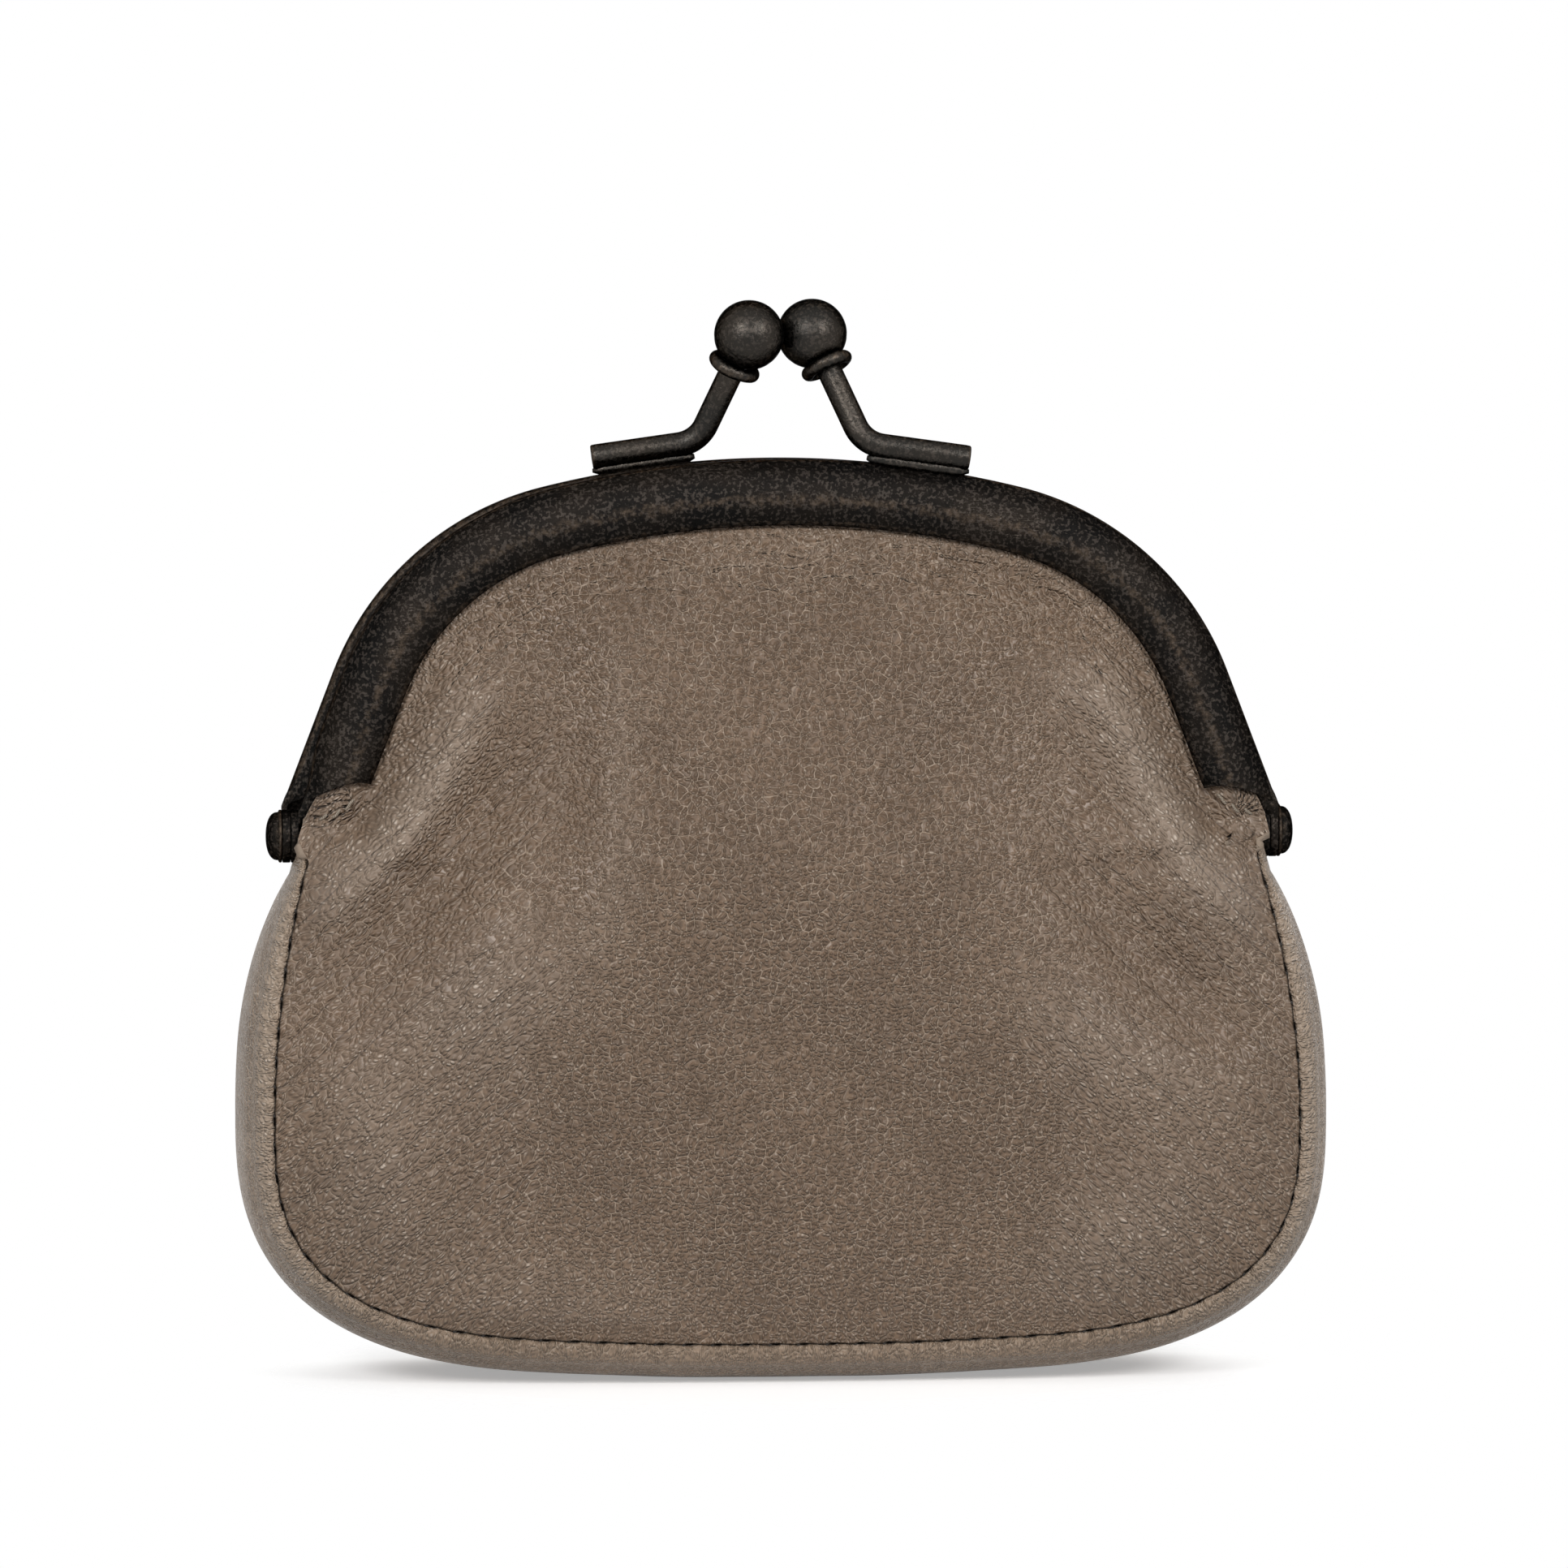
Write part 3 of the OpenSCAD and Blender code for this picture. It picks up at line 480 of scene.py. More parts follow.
# %% Node group: plain weave
weave, w_in, w_out = new_group("plain_weave", [("Vector", VECTOR, None), ("Pitch", FLOAT, 0.45)],
                               [("Height", FLOAT), ("Gap", FLOAT)])
turns = put(weave, "ShaderNodeVectorMath",
            {0: w_in["Vector"], "Scale": calc(weave, "DIVIDE", math.pi, w_in["Pitch"])}, operation="SCALE")
axes = put(weave, "ShaderNodeSeparateXYZ", {0: turns.outputs[0]})
wave_x = calc(weave, "SINE", axes.outputs[0])
wave_y = calc(weave, "SINE", axes.outputs[1])
over = calc(weave, "MULTIPLY", wave_x, wave_y)
thread_x = calc(weave, "ABSOLUTE", wave_x)
thread_y = calc(weave, "ABSOLUTE", wave_y)
top_thread = ease(weave, over, -0.15, 0.15)
surface = put(weave, "ShaderNodeMix", {0: top_thread, 2: thread_x, 3: thread_y}).outputs[0]
weave.links.new(surface, w_out["Height"])
weave.links.new(ease(weave, calc(weave, "MULTIPLY", thread_x, thread_y), 0.12, 0.0), w_out["Gap"])


# %% [markdown]
# ## The finishes
#
# Each material puts the shared groups together with its own colours. Colours are written as they look in
# plain light, in Blender's linear values.


# %% Helper: a new material
def new_material(name):
    """A material with a Principled BSDF in it, and its node tree."""
    material = bpy.data.materials.new(name)
    material.use_nodes = True
    tree = material.node_tree
    return material, tree, tree.nodes["Principled BSDF"]


def bump(tree, height, distance_mm, strength=1.0, normal=None):
    inputs = {"Height": height, "Distance": distance_mm * MM, "Strength": strength}
    if normal is not None:
        inputs["Normal"] = normal
    return put(tree, "ShaderNodeBump", inputs).outputs[0]


# %% Finish: the leather of the front and the back
HIDE_DARK, HIDE_MID, HIDE_PALE = (0.137, 0.089, 0.0567), (0.163, 0.107, 0.069), (0.43, 0.34, 0.26)
# colour of the painted glint on the bead tops
PAINTED_GLINT = (0.52, 0.43, 0.35)
# colour of the painted shade deep in the seam's groove
GROOVE_SHADE = (0.022, 0.016, 0.012)
# colours of the painted shade in the fine creases and in the valleys of the corner pleats
CREASE_SHADE, PLEAT_SHADE = (0.05, 0.034, 0.024), (0.04, 0.027, 0.019)
# rubbed pale hide, and the colour of the painted sheen on the fold ridges
WEAR_AND_SHEEN_TAUPE = (0.305, 0.234, 0.178)


def make_hide(name, cell, vein_share, crease_shade_share, wear_and_sheen_colour, mid, dark, pale):
    """The taupe hide. The mesh stores flat (place on the hide), flow (along and across the pull), crease
    (how much it is pulled), worn (rubbed pale, and a painted sheen on the ridges), shade (painted shade,
    darker in hollows) and groove (painted shade deep in the seam). A panel also stores rim and gather
    (place and strength of the creases along the frame's mouth) and pleat (phase and strength of the corner
    pleats)."""
    material, tree, shader = new_material(name)
    place = attribute(tree, "flat", vector=True)
    run = attribute(tree, "flow", vector=True)
    patch = put(tree, "ShaderNodeTexNoise", {"Vector": place, "Scale": 0.16, "Detail": 3.0}).outputs["Fac"]
    rough_edge = calc(tree, "MULTIPLY", calc(tree, "SUBTRACT", patch, 0.5), 1.2)
    pull = ease(tree, calc(tree, "ADD", attribute(tree, "crease"), rough_edge), 0.25, 0.75)
    pulled = ease(tree, pull, 0.42, 0.58)
    worn = attribute(tree, "worn")
    round_cells = use_group(tree, grain, {"Vector": place, "Cell": cell, "Bead": cell * 0.45}).outputs
    long_cells = use_group(tree, grain, {"Vector": run, "Cell": cell * 0.9, "Bead": cell * 0.42,
                                         "Stretch": (0.62, 1.0, 1.0)}).outputs
    lines = use_group(tree, creases, {"Vector": run, "Length": 34.0, "Width": 3.4}).outputs
    cells = {key: put(tree, "ShaderNodeMix",
                      {0: pulled, 2: round_cells[key], 3: long_cells[key]}).outputs[0]
             for key in ("Height", "Vein", "Top", "Tone")}
    colour = blend_colours(tree, round_cells["Blotch"], dark, mid)
    tone = calc(tree, "MULTIPLY", calc(tree, "SUBTRACT", cells["Tone"], 0.5), 0.46)
    colour = put(tree, "ShaderNodeVectorMath", {0: colour, "Scale": calc(tree, "ADD", 1.0, tone)},
                 operation="SCALE").outputs[0]
    # Partly real rubbing, partly a painted sheen: where worn is high the hide turns paler
    colour = blend_colours(tree, calc(tree, "MULTIPLY", worn, 0.8, clamp=True), colour, wear_and_sheen_colour)
    clear = ease(tree, patch, 0.34, 0.6, 0.4, 1.0)
    vein = calc(tree, "MULTIPLY", calc(tree, "MULTIPLY", cells["Vein"], clear),
                calc(tree, "MULTIPLY", ease(tree, worn, 0.0, 0.5, 1.0, 0.3), vein_share))
    colour = blend_colours(tree, vein, colour, pale)
    # Painted highlight: the picked bead tops turn pale, more so where worn is high, as a glint of light
    # would show
    glint_share = calc(tree, "ADD", 0.36, calc(tree, "MULTIPLY", worn, 1.3))
    colour = blend_colours(tree, calc(tree, "MULTIPLY", cells["Top"], glint_share, clamp=True), colour, PAINTED_GLINT)
    # Painted shade: the fine creases are drawn as dark lines where the hide is pulled
    crease_shade = calc(tree, "MULTIPLY", lines["Line"], calc(tree, "MULTIPLY", pull, crease_shade_share))
    colour = blend_colours(tree, crease_shade, colour, CREASE_SHADE)
    gather = attribute(tree, "gather")
    rolls = use_group(tree, creases, {"Vector": attribute(tree, "rim", vector=True), "Length": 11.0,
                                      "Width": 2.0, "Hair": 0.16}).outputs
    colour = blend_colours(tree, calc(tree, "MULTIPLY", rolls["Line"], calc(tree, "MULTIPLY", gather, 0.3)),
                           colour, pale)
    pleat = put(tree, "ShaderNodeSeparateXYZ", {0: attribute(tree, "pleat", vector=True)})
    pleat_wave = calc(tree, "SINE", calc(tree, "MULTIPLY", pleat.outputs[0], math.pi))
    pleat_wave = calc(tree, "ABSOLUTE", pleat_wave)
    # Painted shade: the pleats' valleys are drawn dark
    pleat_shade = calc(tree, "MULTIPLY", ease(tree, pleat_wave, 0.5, 0.06), pleat.outputs[1])
    colour = blend_colours(tree, calc(tree, "MULTIPLY", pleat_shade, 0.85), colour, PLEAT_SHADE)
    colour = blend_colours(tree, calc(tree, "MULTIPLY", attribute(tree, "shade"), 0.5, clamp=True), colour,
                           dark)
    # Painted shade deep in the seam's groove
    colour = blend_colours(tree, attribute(tree, "groove"), colour, GROOVE_SHADE)
    tree.links.new(colour, shader.inputs["Base Color"])
    tree.links.new(ease(tree, cells["Tone"], 0.0, 1.0, 0.46, 0.34), shader.inputs["Roughness"])
    shader.inputs["Specular IOR Level"].default_value = 0.38
    rolled = bump(tree, calc(tree, "MULTIPLY", rolls["Height"], gather), -0.12, 1.0)
    folds = bump(tree, calc(tree, "MULTIPLY", lines["Height"], pull), 0.07, 1.0, rolled)
    gathered = bump(tree, calc(tree, "MULTIPLY", ease(tree, pleat_wave, 0.0, 0.9), pleat.outputs[1]), 0.2,
                    1.0, folds)
    tree.links.new(bump(tree, cells["Height"], 0.25, 1.0, gathered), shader.inputs["Normal"])
    return material


leather = make_hide("taupe_hide", 0.95, 0.72, 0.55, WEAR_AND_SHEEN_TAUPE, HIDE_MID, HIDE_DARK, HIDE_PALE)
# The same hide as the panels, with colours about twice as light: painted light for the light that falls on
# the gusset's sides
lit_gusset_hide = make_hide("lit_gusset_hide", 0.75, 0.9, 0.3, (0.36, 0.279, 0.21),
                        (0.31, 0.227, 0.163), (0.225, 0.161, 0.112), (0.66, 0.55, 0.44))


# %% Finish: the flesh side and cut edge of the hide
def make_suede():
    material, tree, shader = new_material("flesh_side")
    nap = put(tree, "ShaderNodeTexNoise", {"Vector": attribute(tree, "flat", vector=True),
                                           "Scale": 2.2, "Detail": 5.0, "Roughness": 0.7})
    colour = blend_colours(tree, nap.outputs["Fac"], (0.22, 0.165, 0.12), (0.33, 0.26, 0.2))
    tree.links.new(colour, shader.inputs["Base Color"])
    shader.inputs["Roughness"].default_value = 0.95
    tree.links.new(bump(tree, nap.outputs["Fac"], 0.15), shader.inputs["Normal"])
    return material


suede = make_suede()


# %% Finish: the blackened metal of the frame and of the clasp
def make_gunmetal(name, dark, brown, roughness, smear, grain_strength):
    """Blackened steel. The mesh stores place (a position in millimetres) and edge (1 on a rubbed edge; on
    the frame's crest it also carries a painted highlight).
    """
    material, tree, shader = new_material(name)
    marks = use_group(tree, handled, {"Vector": attribute(tree, "place", vector=True), "Size": 1.0,
                                      "Edge": attribute(tree, "edge")}).outputs
    colour = blend_colours(tree, calc(tree, "MULTIPLY", marks["Smear"], smear), dark, brown)
    specks = ease(tree, marks["Grit"], 0.55, 0.8)
    # The wear tint is real rubbing on edges; on the frame's crest it is a painted highlight
    for mask, share, tint in ((specks, 0.3, (0.1, 0.083, 0.071)),
                              (marks["Wear"], 0.6, (0.125, 0.091, 0.065)),
                              (marks["Scratch"], 0.5, (0.2, 0.167, 0.14)),
                              (marks["Pit"], 0.12, (0.15, 0.126, 0.102))):
        colour = blend_colours(tree, calc(tree, "MULTIPLY", mask, share), colour, tint)
    tree.links.new(colour, shader.inputs["Base Color"])
    shader.inputs["Metallic"].default_value = 1.0
    shader.inputs["Specular Tint"].default_value = (0.1, 0.1, 0.1, 1.0)
    rough = ease(tree, marks["Grit"], 0.0, 1.0, roughness - 0.04, roughness + 0.12)
    rough = calc(tree, "SUBTRACT", rough, calc(tree, "MULTIPLY", marks["Smear"], 0.1))
    tree.links.new(rough, shader.inputs["Roughness"])
    skin = bump(tree, marks["Grit"], 0.045, grain_strength)
    tree.links.new(bump(tree, marks["Pit"], -0.02, 0.8, skin), shader.inputs["Normal"])
    return material


frame_metal = make_gunmetal("blackened_frame", (0.0072, 0.0069, 0.0065), (0.0155, 0.0123, 0.0097),
                            0.42, 0.7, 1.0)
clasp_metal = make_gunmetal("blackened_clasp", (0.0265, 0.025, 0.0228), (0.042, 0.035, 0.0285),
                            0.28, 0.65, 0.5)


# %% Finish: lining, threads and paper cord
def make_lining():
    material, tree, shader = new_material("cotton_lining")
    cloth = use_group(tree, weave, {"Vector": attribute(tree, "flat", vector=True), "Pitch": 0.42})
    slub = put(tree, "ShaderNodeTexNoise", {"Vector": attribute(tree, "flat", vector=True),
                                            "Scale": 0.8, "Detail": 3.0})
    colour = blend_colours(tree, slub.outputs["Fac"], (0.066, 0.052, 0.042), (0.1, 0.08, 0.066))
    # painted shade in the gaps between the threads
    colour = blend_colours(tree, calc(tree, "MULTIPLY", cloth.outputs["Gap"], 0.7), colour,
                           (0.03, 0.024, 0.02))
    tree.links.new(colour, shader.inputs["Base Color"])
    shader.inputs["Roughness"].default_value = 0.9
    shader.inputs["Sheen Weight"].default_value = 0.25
    tree.links.new(bump(tree, cloth.outputs["Height"], 0.12, 0.7), shader.inputs["Normal"])
    return material


def make_thread(name, dark, pale, turns_per_mm):
    """Twisted strands: bands that run round and along, with painted shade in the grooves between them. The
    mesh stores flat as (along, round, 0).
    """
    material, tree, shader = new_material(name)
    place = put(tree, "ShaderNodeSeparateXYZ", {0: attribute(tree, "flat", vector=True)})
    slant = calc(tree, "ADD", calc(tree, "MULTIPLY", place.outputs[0], turns_per_mm * 2 * math.pi),
                 calc(tree, "MULTIPLY", place.outputs[1], 2 * math.pi))
    ply = ease(tree, calc(tree, "ABSOLUTE", calc(tree, "SINE", slant)), 0.05, 0.9)
    fibre = put(tree, "ShaderNodeTexNoise", {"Vector": attribute(tree, "flat", vector=True),
                                             "Scale": 9.0, "Detail": 3.0})
    # painted shade: the grooves between the plies are darker and their crests paler
    colour = blend_colours(tree, calc(tree, "MULTIPLY", ply, fibre.outputs["Fac"]), dark, pale)
    tree.links.new(colour, shader.inputs["Base Color"])
    shader.inputs["Roughness"].default_value = 0.75
    tree.links.new(bump(tree, ply, 0.06, 0.9), shader.inputs["Normal"])
    return material


lining_cloth = make_lining()
seam_thread = make_thread("dark_thread", (0.016, 0.013, 0.011), (0.05, 0.042, 0.035), 1.6)
tack_thread = make_thread("pale_thread", (0.2, 0.16, 0.12), (0.46, 0.4, 0.32), 1.8)
kraft_paper = make_thread("twisted_paper", (0.3, 0.22, 0.13), (0.58, 0.46, 0.31), 0.35)


# %% Helper: finish a piece
def finish_with(obj, material, second=None):
    obj.data.materials.clear()
    obj.data.materials.append(material)
    if second is not None:
        obj.data.materials.append(second)
    return obj


# %% [markdown]
# ## The bag's pattern
#
# A purse maker draws the panel flat: its top edge is the frame's mouth plus what is tucked into the
# channel, and its sides and bottom are the seam. Both outlines are worked out here from the driving
# sizes. A function then gives the depth of the leather at any place, because a filled purse stands
# deepest at its waist and base and narrow at its frame.


# %% Outline of the seam
SEAM_LIFT = 1.4


def seam_x(z):
    fall = (z - WIDE_H) / (seam_top - WIDE_H)
    return SEAM_HALF - (SEAM_HALF - seam_top_half) * fall ** 2


def seam_outline(top, side_steps, corner_steps):
    """The seam from its right end, round the bottom, to its left end."""
    right = [(seam_x(z), z) for z in np.linspace(top, WIDE_H, side_steps, endpoint=False)]
    for a in np.linspace(0, math.pi / 2, corner_steps):
        r = ((math.cos(a) / SEAM_HALF) ** CORNER_POWER
             + (math.sin(a) / (WIDE_H - SEAM_LOW)) ** CORNER_POWER) ** (-1 / CORNER_POWER)
        right.append((r * math.cos(a), WIDE_H - r * math.sin(a)))
    right = np.array(right)
    under = smooth_step(0.92 * SEAM_HALF, 0.3 * SEAM_HALF, right[:, 0]) * (right[:, 1] < WIDE_H)
    right[:, 1] += SEAM_LIFT * under
    left = right[-2::-1] * np.array([-1, 1])
    return np.vstack([right, left])


def evenly(line, count):
    """The same line with its points at even steps, and how far along it each lies."""
    steps = np.concatenate([[0], np.cumsum(np.linalg.norm(np.diff(line, axis=0), axis=1))])
    want = np.linspace(0, steps[-1], count)
    return np.column_stack([np.interp(want, steps, line[:, k]) for k in range(line.shape[1])]), want


def seam_depth(z):
    """Half depth of the bag at the seam, at a height."""
    z = np.asarray(z, float)
    upper = mix(TOP_D, SIDE_D, np.sin(np.pi / 2 * np.clip((seam_top - z) / (seam_top - WIDE_H), 0, 1)))
    lower = mix(SIDE_D, BASE_D, (np.clip(WIDE_H - z, 0, None) / (WIDE_H - SEAM_LOW)) ** 2)
    return np.where(z > WIDE_H, upper, lower)


# %% Mouth of the frame, seen from the middle between the hinges
mouth_crown_r, mouth_shoulder_r = CROWN_R - BAND_W, SHOULDER_R - BAND_W
hinge_mid = np.array([0.0, HINGE_H])


def seen_at(point):
    return math.atan2(point[1] - HINGE_H, point[0])


crown_seen = seen_at(crown_c + mouth_crown_r * np.array([math.sin(half_crown), math.cos(half_crown)]))
leg_seen = seen_at(shoulder_c + mouth_shoulder_r * leg_out)


def mouth_at(angle):
    """Distance to the channel's mouth and its outward direction, for an angle between 0 and 90 degrees."""
    d = np.array([math.cos(angle), math.sin(angle)])
    if angle > leg_seen:
        c, r = (crown_c, mouth_crown_r) if angle > crown_seen else (shoulder_c, mouth_shoulder_r)
        o = c - hinge_mid
        along = d @ o
        m = along + math.sqrt(r * r - o @ o + along * along)
        return m, unit(hinge_mid + m * d - c)
    m = (leg_start - BAND_W * leg_out - hinge_mid) @ leg_out / (d @ leg_out)
    t = tilt * min(1.0, angle / math.radians(5))
    return m, np.array([math.cos(t), math.sin(t)])


# %% Depth of the leather
face_c = (0.39 * BAND_W, CHANNEL_D - FACE_R)


def face_inside(u):
    return face_c[1] + np.sqrt((FACE_R - SHEET_T) ** 2 - (u - face_c[0]) ** 2)


def tucked(u):
    return face_inside(np.clip(u, 0, TUCK)) - TUCK_PLAY


SIDE_FULLNESS, CROWN_FULLNESS, BASE_FULLNESS, BELLY = 3.0, 1.4, 1.9, 2.5
angles = np.linspace(0, math.pi / 2, 181)
mouth_table = np.array([mouth_at(a)[0] for a in angles])
right_seam = seam_outline(seam_top, 60, 120)[:180]
seam_seen = np.arctan2(HINGE_H - right_seam[:, 1], right_seam[:, 0])
seam_far = np.hypot(right_seam[:, 0], HINGE_H - right_seam[:, 1])


def leather_depth(x, z):
    """Half depth of the outer skin at a place, and how far past the channel's mouth it lies."""
    x, h = np.abs(x), z - HINGE_H
    waist = mix(LOWER_WAIST_D, WAIST_D, smooth_step(-3.0, 9.0, h))
    r = np.hypot(x, h)
    up = np.arctan2(np.clip(h, 0, None), x)
    m = np.interp(up, angles, mouth_table)
    p = mix(SIDE_FULLNESS, CROWN_FULLNESS, np.sin(up))
    above = np.where(r < m, mix(waist, tucked(0), np.clip(r / m, 0, 1) ** p), tucked(r - m))
    down = np.arctan2(np.clip(-h, 0, None), x)
    far = np.interp(down, seam_seen, seam_far)
    edge = seam_depth(np.interp(down, seam_seen, right_seam[:, 1]))
    u = np.clip(r / far, 0, 1)
    q = mix(SIDE_FULLNESS, BASE_FULLNESS, np.sin(down))
    below = mix(waist, edge, u ** q) + BELLY * 27 / 4 * u * u * (1 - u) * np.sin(down)
    return mix(below, above, smooth_step(-2.2, 1.8, h)), np.where(h > 0, r - m, -9.0)


# %% [markdown]
# ### Folds
#
# Two soft folds run from the ends of the frame down to the side seams, because the frame holds the
# leather narrow where the filling pushes it wide. Under each fold lies a hollow. The base and the middle
# have broad, low swellings. Each fold is a ridge along a bent line with a width and a height, so it can
# be read and moved like a pleat on a pattern. The back of the purse has its own folds.


# %% Ridges and hollows
def ridge(x, z, points, width, height):
    """Height at a place of a ridge along a bent line through three points, which fades at both ends."""
    (x0, z0), (x1, z1), (x2, z2) = points
    t = np.linspace(0, 1, 41)
    line_x = (1 - t) ** 2 * x0 + 2 * t * (1 - t) * (2 * x1 - (x0 + x2) / 2) + t ** 2 * x2
    line_z = (1 - t) ** 2 * z0 + 2 * t * (1 - t) * (2 * z1 - (z0 + z2) / 2) + t ** 2 * z2
    d2 = (x[..., None] - line_x) ** 2 + (z[..., None] - line_z) ** 2
    fade = np.sin(np.pi * np.clip(t, 0.02, 0.98)) ** 0.6
    return height * np.max(fade * np.exp(-d2 / width ** 2), axis=-1)


FRONT_FOLDS = [
    ([(-31.5, 71.5), (-37.5, 58.5), (-48.5, 47.5)], 3.0, 1.9),
    ([(-25.5, 65.0), (-35.0, 51.5), (-47.5, 36.5)], 4.0, -1.7),
    ([(-22.0, 47.0), (-30.5, 40.5), (-38.0, 33.0)], 7.0, 0.85),
    ([(-44.5, 34.0), (-42.0, 25.5), (-41.0, 15.0)], 4.6, 0.8),
    ([(-18.0, 76.0), (-17.6, 60.0), (-18.6, 43.0)], 2.3, 0.45),
    ([(-24.0, 70.0), (-23.6, 60.0), (-24.4, 45.0)], 3.2, -0.45),
    ([(31.5, 72.0), (38.5, 57.0), (47.6, 46.5)], 2.9, 1.8),
    ([(27.0, 57.0), (36.0, 44.0), (47.0, 35.5)], 4.0, -1.6),
    ([(24.0, 42.0), (33.0, 33.0), (45.0, 30.0)], 5.0, 0.8),
    ([(15.0, 83.0), (24.5, 79.8), (32.0, 73.5)], 3.6, -0.7),
    ([(26.0, 74.0), (30.0, 70.5), (33.5, 66.0)], 3.6, 0.7),
    ([(26.0, 12.0), (34.0, 15.5), (40.0, 22.0)], 5.5, 0.8),
    ([(-34.0, 11.0), (-24.0, 9.0), (-10.0, 8.5)], 4.6, 0.5),
    ([(-2.0, 36.0), (6.0, 31.0), (15.0, 22.0)], 8.0, -0.5),
    ([(-12.0, 82.0), (2.0, 86.5), (18.0, 83.0)], 3.4, 0.45),
]
REAR_FOLDS = [
    ([(-32.0, 71.0), (-38.5, 57.0), (-48.2, 46.5)], 3.0, 1.8),
    ([(-27.0, 60.0), (-35.5, 47.0), (-47.0, 36.0)], 4.2, -1.6),
    ([(-26.0, 40.0), (-33.0, 33.5), (-41.0, 29.0)], 6.0, 0.9),
    ([(31.0, 72.0), (37.5, 58.0), (48.4, 46.5)], 3.0, 1.8),
    ([(25.0, 62.0), (34.5, 49.5), (47.2, 34.5)], 4.0, -1.6),
    ([(20.0, 50.0), (27.5, 41.0), (36.0, 35.0)], 6.5, 1.0),
    ([(8.0, 78.0), (9.5, 62.0), (8.6, 46.0)], 3.0, 0.5),
    ([(-12.0, 24.0), (0.0, 21.0), (12.0, 26.0)], 9.0, -0.6),
    ([(-38.0, 12.0), (-28.0, 10.0), (-14.0, 9.0)], 5.0, 0.6),
]
FOLD_DEPTH = 1.45


def folded_height(x, z, folds):
    """Height of all folds together at a place."""
    total = np.zeros_like(x)
    for points, width, height in folds:
        total += FOLD_DEPTH * ridge(x, z, points, width, height)
    return total


# %% [markdown]
# ### Pleats and gathers
#
# At each end of the frame small pleats fan out from one point, where the corner is pressed into the
# channel. They are too fine for the mesh, so the mesh stores only their phase and strength, and the hide's
# finish draws them with a bump and with painted shade in their valleys. The short creases along the
# frame's mouth are stored the same way, as rim and gather.


# %% Pleats at the ends of the frame
# Where the pleats of a corner meet, and how far and how wide they fan out, on the left and on the right
PLEAT_FANS = [((-40.8, 59.4), (3.2, 8.2), (172, 208), 8.4), ((45.6, 56.9), (0.4, 3.2), (5, 84), 13.0)]


def pleats(x, z):
    """Phase and strength of the small pleats that fan out at each end of the frame."""
    phase, strength = np.zeros_like(x), np.zeros_like(x)
    for (fan_x, fan_z), (near, far), (low, high), pitch in PLEAT_FANS:
        r = np.hypot(x - fan_x, z - fan_z)
        angle = np.degrees(np.arctan2(z - fan_z, x - fan_x)) % 360
        inside = (smooth_step(near, near + 0.6, r) * smooth_step(far, far - 0.8, r)
                  * smooth_step(low - 6, low + 4, angle) * smooth_step(high + 6, high - 4, angle))
        phase = np.where(inside > 0, (angle - low) / pitch + 0.25 * np.sin(r * 1.7), phase)
        strength = np.maximum(strength, inside)
    return phase, strength


# %% [markdown]
# ## The panels
#
# Each panel is one continuous piece of hide. A disc of quads is laid over the pattern with the even
# concentric map, which has no pole in the middle of the panel where a pinch would show. The rim of the
# disc lies on the seam and inside the channel. The hide then gets its thickness, and its flesh side
# another material.


# %% The flat pattern as a disc of quads
PANEL_N, FLARE = 168, 1.0
PATTERN_MIDDLE = np.array([0.0, 50.0])


def panel_rim():
    """The rim of the panel as a closed line: the tucked edge over the top, then the seam."""
    top = []
    for a in np.linspace(0, math.pi, 181):
        s, b = (1, a) if a <= math.pi / 2 else (-1, math.pi - a)
        m, n = mouth_at(b)
        p = m * np.array([math.cos(b), math.sin(b)]) + (TUCK + FLARE * smooth_step(0.13, 0.02, b)) * n
        top.append((s * p[0], HINGE_H + max(0.0, p[1])))
    seam = seam_outline(seam_top, 60, 120)
    return np.vstack([np.array(top), seam[::-1]])


rim_line = panel_rim()
rim_angle = np.unwrap(np.arctan2(rim_line[:, 1] - PATTERN_MIDDLE[1], rim_line[:, 0] - PATTERN_MIDDLE[0]))
rim_far = np.hypot(rim_line[:, 0] - PATTERN_MIDDLE[0], rim_line[:, 1] - PATTERN_MIDDLE[1])


def rim_distance(angle):
    base = (np.asarray(angle) - rim_angle[0]) % (2 * math.pi) + rim_angle[0]
    return np.interp(base, rim_angle, rim_far)


def disc_places(n):
    """Places of an n by n grid of quads on the pattern, and how near the rim each lies."""
    s, t = np.meshgrid(np.linspace(-1, 1, n + 1), np.linspace(-1, 1, n + 1), indexing="ij")
    wide = np.abs(s) >= np.abs(t)
    rho = np.where(wide, np.abs(s), np.abs(t))
    with np.errstate(divide="ignore", invalid="ignore"):
        phi = np.where(wide, np.pi / 4 * np.nan_to_num(t / s), np.pi / 2 - np.pi / 4 * np.nan_to_num(s / t))
    phi = np.where(wide & (s < 0), phi + np.pi, phi)
    phi = np.where(~wide & (t < 0), phi + np.pi, phi)
    r = np.sin(np.pi / 2 * rho) * rim_distance(phi)
    return PATTERN_MIDDLE[0] + r * np.cos(phi), PATTERN_MIDDLE[1] + r * np.sin(phi), rho


# %% The skin of a panel
seam_line = seam_outline(seam_top, 60, 120)
seam_lengths = np.concatenate([[0], np.cumsum(np.linalg.norm(np.diff(seam_line, axis=0), axis=1))])
seam_angles = np.arctan2(HINGE_H - seam_line[:, 1], seam_line[:, 0])


def seam_along(x, z):
    """How far along the seam the nearest part of it lies, from its right end."""
    return np.interp(np.arctan2(np.clip(HINGE_H - z, 0, None), x), seam_angles, seam_lengths)


SMOOTHING_ROUNDS = 60
EDGE_R, STEP_ASIDE = 0.3, 0.16


